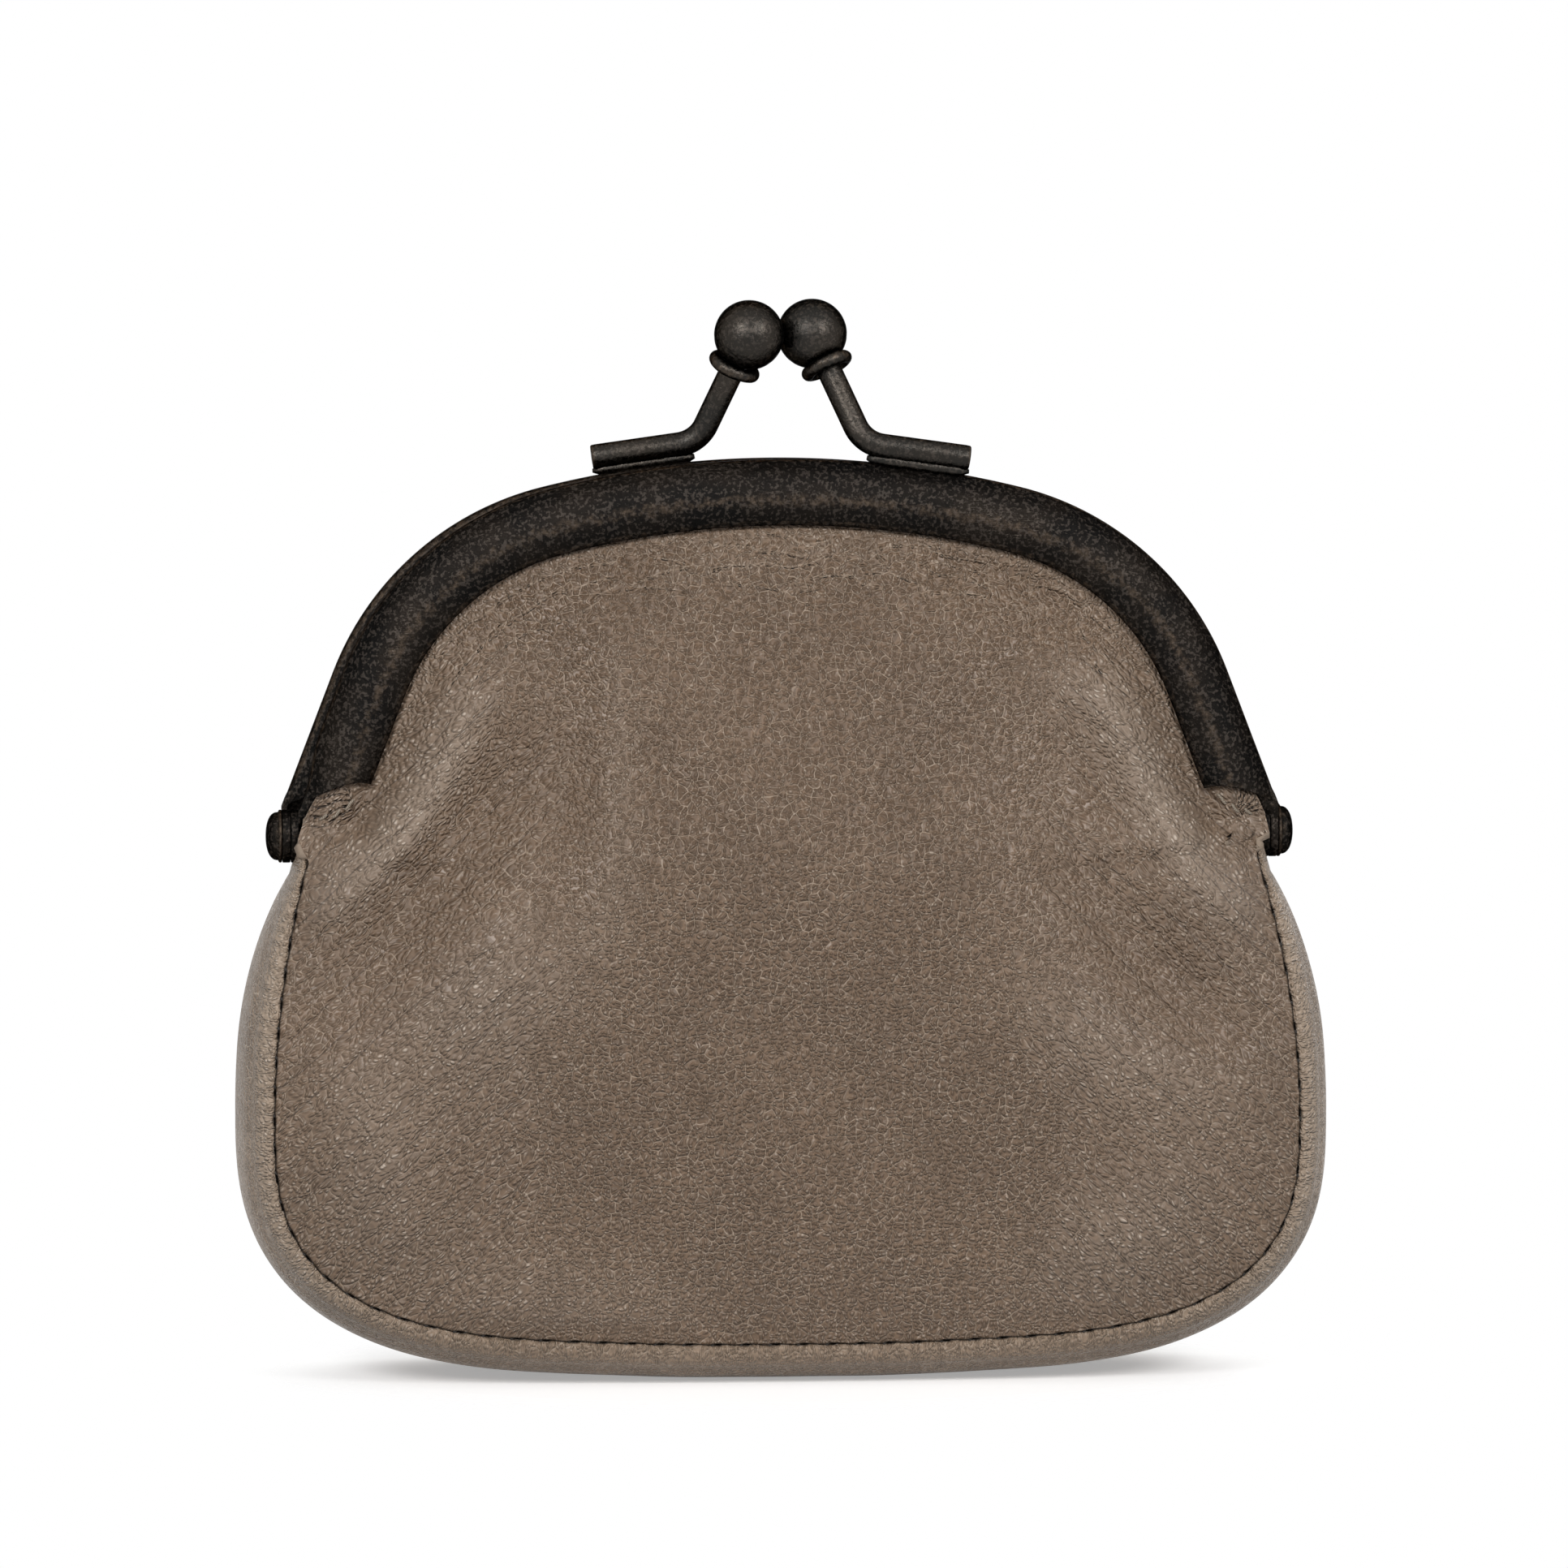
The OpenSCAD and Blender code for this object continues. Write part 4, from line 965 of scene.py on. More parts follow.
def relaxed(depth, free):
    """The depth with its creases eased out, where free is 1, and kept where free is 0."""
    for _ in range(SMOOTHING_ROUNDS):
        around = depth.copy()
        around[1:-1, 1:-1] = (depth[:-2, 1:-1] + depth[2:, 1:-1] + depth[1:-1, :-2] + depth[1:-1, 2:]) / 4
        depth = mix(depth, around, 0.8 * free)
    return depth


def seam_gap(x, z):
    """Distance from a place to the seam, seen from between the hinges. It is large above the seam."""
    angle = np.arctan2(np.clip(HINGE_H - z, 0, None), np.abs(x))
    gap = np.interp(angle, seam_seen, seam_far) - np.hypot(x, z - HINGE_H)
    return np.clip(gap, 0, None) + 12 * smooth_step(seam_top - 1.2, seam_top + 1.2, z)


def seam_wander(along):
    """How far the seam steps aside at its stitches."""
    share = (along / STITCH_PITCH) % 1.0
    return STEP_ASIDE * (smooth_step(0.0, 0.16, share) - smooth_step(0.16, 1.0, share))


def panel_skin(folds, n):
    x, z, rho = disc_places(n)
    depth, past_mouth = leather_depth(x, z)
    free = smooth_step(-1.0, -7.0, past_mouth) * smooth_step(1.0, 0.9, rho)
    depth = relaxed(depth, free)
    gap = seam_gap(x, z)
    calm = smooth_step(-0.4, -3.0, past_mouth) * smooth_step(0.0, 3.0, gap)
    lift = folded_height(x, z, folds) * calm
    from_edge = EDGE_R - np.clip(gap, 0, EDGE_R)
    rounded = EDGE_R - np.sqrt(EDGE_R ** 2 - from_edge ** 2)
    return x, z, depth + lift - rounded, lift, past_mouth, gap


def panel_attributes(x, z, lift, past_mouth, gap):
    """What the hide's material needs to know at each point."""
    side = np.abs(x)
    turn = math.radians(42)
    along = -side * math.cos(turn) + z * math.sin(turn)
    across = side * math.sin(turn) + z * math.cos(turn)
    flow = per_point(along, across, np.sign(x) * 7.0)
    pulled = smooth_step(14, 40, side) * smooth_step(90, 60, z)
    pulled = np.clip(pulled * 0.9 + np.abs(lift) * 0.35, 0, 1) * smooth_step(2, 9, side)
    near_seam = smooth_step(2.6, 0.0, gap)
    # worn: real rubbing near the mouth and where the hide is pulled, and a painted sheen that lightens the
    # fold ridges (lift)
    worn = np.clip(lift * 0.3, 0, 0.7) + 0.25 * smooth_step(-2.5, -0.3, past_mouth) + 0.12 * pulled
    shade = np.clip(-lift * 0.3, 0, 0.4) + 0.35 * near_seam
    inside = -past_mouth
    rim = per_point(np.arctan2(z - HINGE_H, x) * 44.0, inside, 0)
    gather = (smooth_step(0.3, 1.6, inside) * smooth_step(10.0, 4.0, inside)
              * smooth_step(HINGE_H + 6, HINGE_H + 18, z))
    phase, strength = pleats(x, z)
    return {"flat": per_point(x, z, 0), "flow": flow, "rim": rim, "gather": gather.ravel(),
            "pleat": per_point(phase, strength, 0),
            "crease": pulled.ravel(), "worn": worn.ravel(),
            "shade": shade.ravel(), "groove": smooth_step(0.2, 0.04, gap).ravel()}


def make_panel(name, folds, rear):
    x, z, depth, lift, past_mouth, gap = panel_skin(folds, PANEL_N)
    step = seam_wander(seam_along(x, z)) * np.exp(-gap / 0.7) * (gap < 9)
    out_x, out_z = x, z - HINGE_H
    far = np.hypot(out_x, out_z) + 1e-9
    x_place = x + half_shift * smooth_step(-4.0, 4.0, z - HINGE_H)
    points = per_point(x_place + step * out_x / far, -depth, z + step * out_z / far)
    if rear:
        points = turned_half_round(points)
    panel = add_mesh(name, points, grid_faces(PANEL_N + 1, PANEL_N + 1, flip=True),
                     panel_attributes(x, z, lift, past_mouth, gap))
    finish_with(panel, leather, suede)
    return thickened(panel, PARED_T, 1)


front_panel = make_panel("front_panel", FRONT_FOLDS, False)
rear_panel = make_panel("rear_panel", REAR_FOLDS, True)
print("panel faces:", len(front_panel.data.polygons))

# %% [markdown]
# A panel crosses the hinge, from the bag up into its half of the frame. Here its place is only baked into
# its mesh, and it is attached to no body.


def hang(obj):
    """Bakes the place of a piece of leather or lining into its mesh."""
    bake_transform(obj)


hang(front_panel)
hang(rear_panel)
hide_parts("front_panel_upper", "front_panel_lower")
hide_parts("rear_panel_upper", "rear_panel_lower")

# %% [markdown]
# ## The gusset
#
# One long strip of the same hide runs from hinge to hinge under the bag and gives it its depth. Its finish
# is set about twice as light as the panels', as painted light for the light on its sides. Along each seam
# it turns out in a soft roll that is rubbed paler and carries a painted highlight on its crest, and between
# the rolls it bulges a little.
# The strip is lofted along the seam: each cross section is a squared oval with its ends drawn in to the
# stitches.


# %% The strip's cross section
GUSSET_LENGTHS, GUSSET_COLUMNS = 640, 57
SECTION_POWER, ROLL_AT, TOP_REACH = 2.4, 2.3, 0.9


def bulge(z):
    z = np.asarray(z, float)
    rise = np.sin(np.pi / 2 * np.clip((seam_top - z) / (seam_top - WIDE_H - 6), 0, 1))
    upper = np.clip(BULGE_SIDE * rise ** 0.6, 1.3, None)
    fall = np.clip((WIDE_H - z) / (WIDE_H - SEAM_LOW - SEAM_LIFT), 0, 1)
    lower = mix(BULGE_SIDE, BULGE_BASE + SEAM_LIFT, fall ** 2)
    return np.where(z > WIDE_H, upper, lower)


def outward_of(line):
    d = np.gradient(line, axis=0)
    d /= np.linalg.norm(d, axis=1)[:, None]
    return np.column_stack([-d[:, 1], d[:, 0]])


def gusset_points(line, out, inside, columns, step=None):
    """Points of the strip, set in from its outer face, with each point's distance from the seam."""
    a = math.pi / 2 * np.sin(np.linspace(-math.pi / 2, math.pi / 2, columns))
    v = np.sign(a) * np.abs(np.sin(a)) ** (2 / SECTION_POWER)
    f = np.clip(np.cos(a), 0, None) ** (2 / SECTION_POWER)
    depth = seam_depth(line[:, 1])[:, None] - inside
    y = depth * v[None, :]
    from_seam = depth - np.abs(y)
    reach = (bulge(line[:, 1])[:, None] - inside) * f[None, :]
    valley = -0.28 * np.exp(-((from_seam - ROLL_AT) / 0.9) ** 2) * smooth_step(1.5, 3.0, reach)
    place = reach + valley
    if step is not None:
        place = place + step[:, None] * np.exp(-reach / 0.7)
        edge = EDGE_R * np.exp(-(reach / 0.26) ** 2)
        y = y - np.sign(y) * edge
    points = np.empty((len(line), columns, 3))
    points[..., 0] = line[:, 0, None] + out[:, 0, None] * place
    points[..., 1] = y
    points[..., 2] = line[:, 1, None] + out[:, 1, None] * place
    return points, from_seam, reach


def make_gusset():
    line, along = evenly(seam_outline(seam_top + TOP_REACH, 60, 120), GUSSET_LENGTHS)
    points, from_seam, reach = gusset_points(line, outward_of(line), 0.0, GUSSET_COLUMNS,
                                             seam_wander(along))
    wander = 0.12 * np.sin(along / 2.1)[:, None] * np.sin(along / 5.3 + 1)[:, None]
    points[..., 1] += wander * smooth_step(2.0, 5.0, from_seam)
    points[..., 2] = np.clip(points[..., 2], 0.0, None)
    across = np.cumsum(np.linalg.norm(np.diff(points, axis=1, prepend=points[:, :1]), axis=2), axis=1)
    # The roll along each seam is paler: partly rubbed, partly a painted highlight on its crest. The
    # paleness fades out towards the bottom, which is darker.
    roll = np.exp(-((from_seam + reach - 1.9) / 1.5) ** 2) * smooth_step(4.6, 2.6, from_seam)
    values = {"flat": per_point(along[:, None], across, 0),
              "flow": per_point(across * 0.9, along[:, None], 3.0),
              "crease": (0.42 + 0.4 * roll).ravel(),
              "worn": ((0.85 * roll + 0.1) * smooth_step(1.0, 14.0, points[..., 2])).ravel(),
              "shade": (1.4 * smooth_step(11.0, 2.0, points[..., 2])).ravel(),
              "groove": smooth_step(0.2, 0.04, reach).ravel()}
    gusset = add_mesh("gusset_strip", points.reshape(-1, 3),
                      grid_faces(GUSSET_LENGTHS, GUSSET_COLUMNS, flip=True), values)
    finish_with(gusset, lit_gusset_hide, suede)
    return thickened(gusset, LEATHER_T, 1)


gusset_strip = make_gusset()
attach(gusset_strip, "bag")
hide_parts("gusset")
print("gusset faces:", len(gusset_strip.data.polygons))

# %% [markdown]
# ## Stitches
#
# The bag is sewn inside out and turned, so only the sides of the stitches show, down in the groove of the
# seam. Each is a short bent piece of waxed thread that crosses the groove and dips in at both ends. The
# seam steps a little aside at every stitch.


# %% Stitches along both seams
THREAD_SIDES = 8
THREAD_ROUND = np.arange(THREAD_SIDES) / THREAD_SIDES


def make_stitches(name, rear):
    line, along = evenly(seam_line, 1600)
    out = outward_of(line)
    parts, flats = [], []
    count = int(along[-1] // STITCH_PITCH)
    for k in range(count):
        s = (k + 0.08) * STITCH_PITCH
        t = np.linspace(-1, 1, 9)
        base = np.array([np.interp(s, along, line[:, 0]), np.interp(s, along, line[:, 1])])
        normal = np.array([np.interp(s, along, out[:, 0]), np.interp(s, along, out[:, 1])])
        lengthwise = np.array([normal[1], -normal[0]])
        place = base + np.outer(t * STITCH_L / 2, unit(normal + 0.5 * lengthwise))
        y = -(seam_depth(base[1]) - 0.3 - 0.35 * t ** 4)
        path = np.column_stack([place[:, 0], y, place[:, 1]])
        parts.append(swept_tube(path, THREAD_R * (1 - 0.3 * t ** 4), THREAD_SIDES))
        flats.append(per_point(t[:, None], THREAD_ROUND, 0))
    points, faces = joined(*parts)
    if rear:
        points = turned_half_round(points)
    stitches = add_mesh(name, points, faces, {"flat": np.vstack(flats)})
    return finish_with(stitches, seam_thread)


for half, rear in HALVES:
    stitches = make_stitches(f"{half}_stitches", rear)
    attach(stitches, "bag")
    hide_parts(f"{half}_seam_thread")
print("stitches a seam:", int(seam_lengths[-1] // STITCH_PITCH))


# %% [markdown]
# ## The lining
#
# A plain cotton bag hangs inside. It follows the leather at a small distance, so it is made by the same
# functions with the depth set in. It only shows when the purse is open.


# %% Lining of the panels and of the gusset
LINING_SET_IN, LINING_N, LINING_T = 1.35, 60, 0.25
GUSSET_LINING_SET_IN, GUSSET_LINING_ROWS, GUSSET_LINING_COLUMNS = 1.3, 150, 25
# Where the leather bends, the lining hangs free of it, so that the leather's crease stays behind it
BEND_SLACK = 3.0


def make_panel_lining(name, folds, rear):
    x, z, rho = disc_places(LINING_N)
    x, z = x * 0.985, PATTERN_MIDDLE[1] + (z - PATTERN_MIDDLE[1]) * 0.985
    depth, past_mouth = leather_depth(x, z)
    depth = relaxed(depth, smooth_step(-1.0, -7.0, past_mouth) * smooth_step(1.0, 0.9, rho)) - LINING_SET_IN
    depth += np.clip(folded_height(x, z, folds), None, 0)
    depth -= (BEND_SLACK * smooth_step(HINGE_H - 9, HINGE_H, z) * smooth_step(HINGE_H + 17, HINGE_H + 9, z)
              * smooth_step(48, 38, np.abs(x)))
    slack = 0.25 * np.sin(x / 3.1 + 1.2 * np.sin(z / 7.0)) * smooth_step(-1.0, -8.0, past_mouth)
    points = per_point(x + half_shift * smooth_step(-4, 4, z - HINGE_H), -(depth - np.abs(slack)), z)
    if rear:
        points = turned_half_round(points)
    lining = add_mesh(name, points, grid_faces(LINING_N + 1, LINING_N + 1, flip=True),
                      {"flat": per_point(x, z, 0)})
    return thickened(finish_with(lining, lining_cloth), LINING_T)


for half, folds, rear in (("front", FRONT_FOLDS, False), ("rear", REAR_FOLDS, True)):
    lining = make_panel_lining(f"{half}_lining", folds, rear)
    hang(lining)
    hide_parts(f"{half}_lining_upper", f"{half}_lining_lower")


def make_gusset_lining():
    line, along = evenly(seam_outline(seam_top - 1.5, 60, 120), GUSSET_LINING_ROWS)
    points = gusset_points(line, outward_of(line), GUSSET_LINING_SET_IN, GUSSET_LINING_COLUMNS)[0]
    across = np.cumsum(np.linalg.norm(np.diff(points, axis=1, prepend=points[:, :1]), axis=2), axis=1)
    lining = add_mesh("gusset_lining_strip", points.reshape(-1, 3),
                      grid_faces(GUSSET_LINING_ROWS, GUSSET_LINING_COLUMNS, flip=True),
                      {"flat": per_point(along[:, None], across, 0)})
    return thickened(finish_with(lining, lining_cloth), LINING_T)


gusset_lining = make_gusset_lining()
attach(gusset_lining, "bag")
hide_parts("gusset_lining")

# %% [markdown]
# ## The frame halves
#
# Each half is a steel channel with a flat back, a rounded face and an open mouth that grips the leather.
# Its section is drawn once, with rounded corners and lips, and carried along the arch. The arch is exact:
# a crown arc, two shoulder arcs and two straight legs. The ends of the legs are cut on a slant, and a
# flat tab goes on down to the rivet. At one end the tab lies outside and at the other end inside, so there
# the channel is drawn in a little and its tab leans out to its neighbour.


# %% Section of the channel
CORNER_R, FACE_STEPS, LIP_STEPS = 0.8, 18, 4
# How rubbed the section is: on its outer corner, at the mouth's front and back, round its lips and inside.
# On the crest of its face the same value is a painted highlight, a paler band where the softboxes' light
# falls
RUBBED_CORNER, CREST_HIGHLIGHT, RUBBED_MOUTH = 0.62, 0.6, 0.55
RUBBED_BACK, RUBBED_LIP, RUBBED_INSIDE = 0.4, 0.6, 0.1


def channel_section():
    """Outer and inner chains of (distance from the mouth, depth), and how worn each point is, with a
    painted highlight on the face's crest.
    """
    face = [(u, face_c[1] + math.sqrt(FACE_R ** 2 - (u - face_c[0]) ** 2))
            for u in np.linspace(BAND_W - 0.45, 0, FACE_STEPS)]
    corner = [(BAND_W - 0.12, face[0][1] - 0.28), (BAND_W, face[0][1] - 0.75)]
    back = [(0.0, BACK_W), (BAND_W * 0.3, BACK_W), (BAND_W * 0.6, BACK_W), (BAND_W - CORNER_R, BACK_W)]
    turn = [(BAND_W - CORNER_R + CORNER_R * math.sin(a), BACK_W + CORNER_R - CORNER_R * math.cos(a))
            for a in np.linspace(math.pi / 8, math.pi / 2, 4)]
    outer = np.array(back + turn + corner[::-1] + face)
    inner = outer + SHEET_T * outward_of(outer)
    turn_from, face_from = len(back), len(back) + len(turn) + len(corner)
    # painted highlight: a paler band along the crest of the face
    worn = CREST_HIGHLIGHT * np.exp(-((outer[:, 0] - face_c[0]) / 1.4) ** 2)
    worn[:turn_from] = 0.0
    worn[turn_from:face_from] = RUBBED_CORNER
    worn[-2:] = RUBBED_MOUTH
    worn[0] = RUBBED_BACK
    return outer, inner, worn


section_outer, section_inner, section_worn = channel_section()


def section_loop():
    """The closed loop of the section: out along the outer chain, round a lip, and back along the inner."""
    loop, worn = list(section_outer), list(section_worn)
    for end, before, first, second in ((-1, -2, section_outer, section_inner),
                                       (0, 1, section_inner, section_outer)):
        mid, half = (first[end] + second[end]) / 2, (first[end] - second[end]) / 2
        normal = np.array([half[1], -half[0]])
        step = section_outer[end] - section_outer[before]
        if normal @ step < 0:
            normal = -normal
        for k in range(1, LIP_STEPS):
            t = math.pi * k / LIP_STEPS
            loop.append(mid + half * math.cos(t) + normal * math.sin(t))
            worn.append(RUBBED_LIP)
        if end == -1:
            loop += list(section_inner[::-1])
            worn += [RUBBED_INSIDE] * len(section_inner)
    return np.array(loop), np.array(worn)


loop_points, loop_worn = section_loop()


# %% Stations along the arch
def arch_stations():
    """Points of the outer edge, with the outward direction and the share of the leg that is passed."""
    leg_l = (leg_start[1] - end_h) / math.cos(tilt)
    right = [(leg_start + t * leg_down, leg_out, t / leg_l)
             for t in np.linspace(leg_l, 0, 10, endpoint=False)]
    for a in np.linspace(tilt, math.pi / 2 - half_crown, 34, endpoint=False):
        n = np.array([math.cos(a), math.sin(a)])
        right.append((shoulder_c + SHOULDER_R * n, n, 0.0))
    for a in np.linspace(math.pi / 2 - half_crown, math.pi / 2, 22):
        n = np.array([math.cos(a), math.sin(a)])
        right.append((crown_c + CROWN_R * n, n, 0.0))
    left = [(p * [-1, 1], n * [-1, 1], t) for p, n, t in right[-2::-1]]
    return right + left


stations = arch_stations()
END_CUT, DRAWN_IN, CUT_BACK = 4.3, 0.9, 1.0


def channel_mesh():
    points, edge, count = [], [], len(loop_points)
    for p, n, down in stations:
        along = leg_down * ([1, 1] if p[0] > 0 else [-1, 1])
        for (u, depth), worn in zip(loop_points, loop_worn):
            inner_end = down if p[0] < 0 else 0.0
            raise_end = END_CUT * math.sin(math.pi / 2 * (1 - min(1.0, u / BAND_W))) * down
            raise_end += CUT_BACK * inner_end
            draw = DRAWN_IN * smooth_step(0.45, 1.0, inner_end) * u / BAND_W
            q = p - (BAND_W - u + draw) * n - raise_end * along
            points.append((q[0], -depth, q[1]))
            edge.append(max(worn, 0.5 * smooth_step(0.93, 1.0, down)))
    rows = len(stations)
    faces = grid_faces(rows, count, wrap=True)
    m = len(section_outer)
    inner_of = lambda i: m + LIP_STEPS - 1 + (m - 1 - i)
    for base, order in ((0, 1), ((rows - 1) * count, -1)):
        strip = [[base + i, base + i + 1, base + inner_of(i + 1), base + inner_of(i)] for i in range(m - 1)]
        lip_a = [base + m - 1] + [base + m + k for k in range(LIP_STEPS - 1)] + [base + inner_of(m - 1)]
        lip_b = [base + inner_of(0)]
        lip_b += [base + 2 * m + LIP_STEPS - 1 + k for k in range(LIP_STEPS - 1)] + [base]
        faces += [face[::order] for face in strip + [lip_a, lip_b]]
    return np.array(points), faces, np.array(edge)


# %% A hinge tab: a round end with a bore, a neck that bends up the channel's wall, and a flange beside it
TAB_SEGMENTS, NECK_ROWS, NECK_TOP, NECK_W, NECK_T, FLANGE_W = 48, 16, 3.4, 2.2, 0.6, 2.5
NECK_FROM, FLANGE_FROM = SHANK_R + 0.15, 0.9


def tab_lean(h, inner):
    """How far a tab leans inwards at a height above the hinge. Its top sinks into the channel's wall."""
    sunk = mix(-0.04, 0.4, float(smooth_step(END_RISE + 0.8, END_RISE + NECK_TOP, h)))
    lean = math.tan(tilt) * max(0.0, h - END_RISE) + sunk
    return lean + (DRAWN_IN * float(smooth_step(0.4, END_RISE + 0.3, h)) if inner else 0.0)


def round_end(side):
    """The tab's flat round end, as four rings about the bore."""
    points, faces, n = [], [], TAB_SEGMENTS
    turn = 2 * np.pi * np.arange(n) / n
    for x in (tab_x - TAB_T / 2, tab_x + TAB_T / 2):
        for r in (SHANK_R + BORE_PLAY, TAB_R):
            points += [(side * x, r * math.sin(a), HINGE_H + r * math.cos(a)) for a in turn]
    for j in range(n):
        k = (j + 1) % n
        faces += [[j, k, n + k, n + j], [2 * n + j, 3 * n + j, 3 * n + k, 2 * n + k],
                  [n + j, n + k, 3 * n + k, 3 * n + j], [j, 2 * n + j, 2 * n + k, k]]
    return np.array(points), faces


def neck_corners(h, side):
    """The four corners of the neck at a height above the hinge."""
    thick = mix(TAB_T, NECK_T, float(smooth_step(1.2, 2.4, h)))
    outer = tab_x + TAB_T / 2 - tab_lean(h, side < 0)
    wide = min(math.sqrt(max(0.0, TAB_R ** 2 - h * h)) if h < 1.6 else 9.0,
               mix(TAB_R * 0.8, NECK_W, float(smooth_step(1.2, END_RISE, h))))
    return (outer, BACK_W + 0.05), (outer, wide), (outer - thick, wide), (outer - thick, BACK_W + 0.05)


def flange_corners(h, side):
    """The four corners of the flange at a height above the hinge."""
    outer = tab_x + TAB_T / 2 - tab_lean(h, side < 0) - 0.05
    inner = outer - mix(TAB_T * 0.8, FLANGE_W, float(smooth_step(0.9, END_RISE + 0.6, h)))
    front = mix(TAB_R * 0.8, NECK_W + 0.2, float(smooth_step(0.9, END_RISE, h)))
    front -= 0.5 * float(smooth_step(END_RISE + 0.8, END_RISE + NECK_TOP, h))
    return (outer, front), (inner, front - 0.25), (inner, front - 0.7), (outer, front - 0.5)


def bar(corners, bottom, side):
    """A closed bar up the channel's wall, through the four corners at each height."""
    points = [(side * x, -y, HINGE_H + h) for h in np.linspace(bottom, END_RISE + NECK_TOP, NECK_ROWS)
              for x, y in corners(h, side)]
    faces = grid_faces(NECK_ROWS, 4, wrap=True)
    return np.array(points), faces + [[3, 2, 1, 0], [(NECK_ROWS - 1) * 4 + j for j in range(4)]]


def hinge_tab(side):
    return joined(round_end(side), bar(neck_corners, NECK_FROM, side),
                  bar(flange_corners, FLANGE_FROM, side))


# %% Put the halves together
# Where each front and rear piece of metal lies in the pattern of wear, so that no two show the same marks
MARKS_AT = {"frame": (0.0, 31.0), "wire": (0.0, 57.0), "ball": (13.0, 91.0), "collar": (5.0, 77.0),
            "rivets": 17.0}


def make_half(name, rear):
    channel_points, channel_faces, edge = channel_mesh()
    points, faces = joined((channel_points, channel_faces), hinge_tab(1), hinge_tab(-1))
    edge = np.concatenate([edge, np.full(len(points) - len(edge), 0.45)])
    points = points + np.array([half_shift, 0, 0])
    place = points + MARKS_AT["frame"][rear]
    if rear:
        points = turned_half_round(points)
    half = add_mesh(name, points, faces, {"place": place, "edge": edge})
    face_outwards(half)
    soften = half.modifiers.new("rounded_edges", "BEVEL")
    soften.width, soften.segments, soften.limit_method = 0.09 * MM, 2, "ANGLE"
    soften.angle_limit = math.radians(40)
    settle(half)
    half.data.polygons.foreach_set("use_smooth", [True] * len(half.data.polygons))
    return finish_with(half, frame_metal)


for half, rear in HALVES:
    channel = make_half(f"{half}_frame_half", rear)
    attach(channel, f"{half}_half")
    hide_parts(f"{half}_frame")
print("stations along the arch:", len(stations), "points round the section:", len(loop_points))

# %% [markdown]
# ## Rivets
#
# A rivet with a domed head goes through both tabs from outside, and is closed over inside. It is a turned
# shape, so a profile is drawn from the tip of the dome to the closed end and turned round the hinge line.


# %% Turned rivets
def rivet_profile():
    seat = tabs_out + 0.04
    brow, high = 0.42, DOME_H - 0.42
    dome = [(seat + brow + high * math.cos(a) ** 0.85, (DOME_R - 0.25) * math.sin(a) ** 0.9)
            for a in np.linspace(0, math.pi / 2, 18)]
    rim = [(seat + brow - 0.06, DOME_R - 0.16), (seat + 0.3, DOME_R - 0.04), (seat + 0.18, DOME_R),
           (seat + 0.06, DOME_R - 0.03), (seat, DOME_R - 0.14)]
    inside = tabs_in - 0.04
    shank = [(seat, SHANK_R + 0.02), (seat - 0.02, SHANK_R), (inside + 0.02, SHANK_R),
             (inside, SHANK_R + 0.02)]
    clinch = [(inside, CLINCH_R - 0.05), (inside - 0.08, CLINCH_R), (inside - CLINCH_T + 0.12, CLINCH_R),
              (inside - CLINCH_T, CLINCH_R - 0.14), (inside - CLINCH_T - 0.02, SHANK_R * 0.9),
              (inside - CLINCH_T + 0.05, SHANK_R * 0.4), (inside - CLINCH_T + 0.06, 0.0)]
    return dome + rim + shank + clinch


for name, side in (("right", 1), ("left", -1)):
    points, faces = lathe(rivet_profile(), 48, (0, 0, HINGE_H), (side, 0, 0), (0, 0, 1))
    near_rim = smooth_step(DOME_R - 0.7, DOME_R, np.hypot(points[:, 1], points[:, 2] - HINGE_H))
    rivet = add_mesh(f"{name}_rivet_pin", points, faces,
                     {"place": points + side * MARKS_AT["rivets"], "edge": 0.15 + 0.5 * near_rim})
    face_outwards(rivet)
    finish_with(rivet, frame_metal)
    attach(rivet, "bag")
    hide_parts(f"{name}_rivet")

# %% [markdown]
# ## The clasp
#
# Each half carries a thick wire that is welded to the crown by its foot, bends up and leans past the
# middle, so that the two balls have to be pushed past each other. Foot and post are one wire. The post
# springs aside in use; here the wire is one fixed piece, and only its ball and collar go on the clasp's
# body.

# %% The clasp wire's path
slope = math.radians(FOOT_SLOPE)
foot_dir = np.array([math.cos(slope), 0, -math.sin(slope)])
foot_up = np.array([math.sin(slope), 0, math.cos(slope)])
foot_mid = np.array([crown_c[0], -FOOT_BACK, crown_c[1]]) + (CROWN_R + WELD_H + WIRE_R) * foot_up
elbow = foot_mid + (ELBOW_X - foot_mid[0]) / foot_dir[0] * foot_dir
ball_c = np.array([BALL_X, BALL_Y, crown_top + BALL_RISE])
post_l = np.linalg.norm(ball_c - elbow)
post_dir = (ball_c - elbow) / post_l
elbow_angle = math.acos(post_dir @ foot_dir)
tangent_l = ELBOW_R / math.tan(elbow_angle / 2)


def wire_path():
    """From the foot's end, round the elbow, into the ball."""
    foot_l = (FOOT_END - elbow[0]) / foot_dir[0]
    foot = [elbow + d * foot_dir for d in (foot_l, foot_l - 0.12, foot_l - 0.5)]
    foot += [elbow + d * foot_dir for d in np.linspace(foot_l - 1.5, tangent_l, 10)]
    centre = elbow + ELBOW_R / math.sin(elbow_angle / 2) * unit(foot_dir + post_dir)
    a, b = elbow + tangent_l * foot_dir - centre, elbow + tangent_l * post_dir - centre
    turn = math.acos(unit(a) @ unit(b))
    bend = [centre + (math.sin((1 - t) * turn) * a + math.sin(t * turn) * b) / math.sin(turn)
            for t in np.linspace(0, 1, 14)[1:-1]]
    post = [elbow + d * post_dir for d in np.linspace(tangent_l, post_l - BALL_R / 2 - 0.05, 10)]
    return np.array(foot + bend + post)


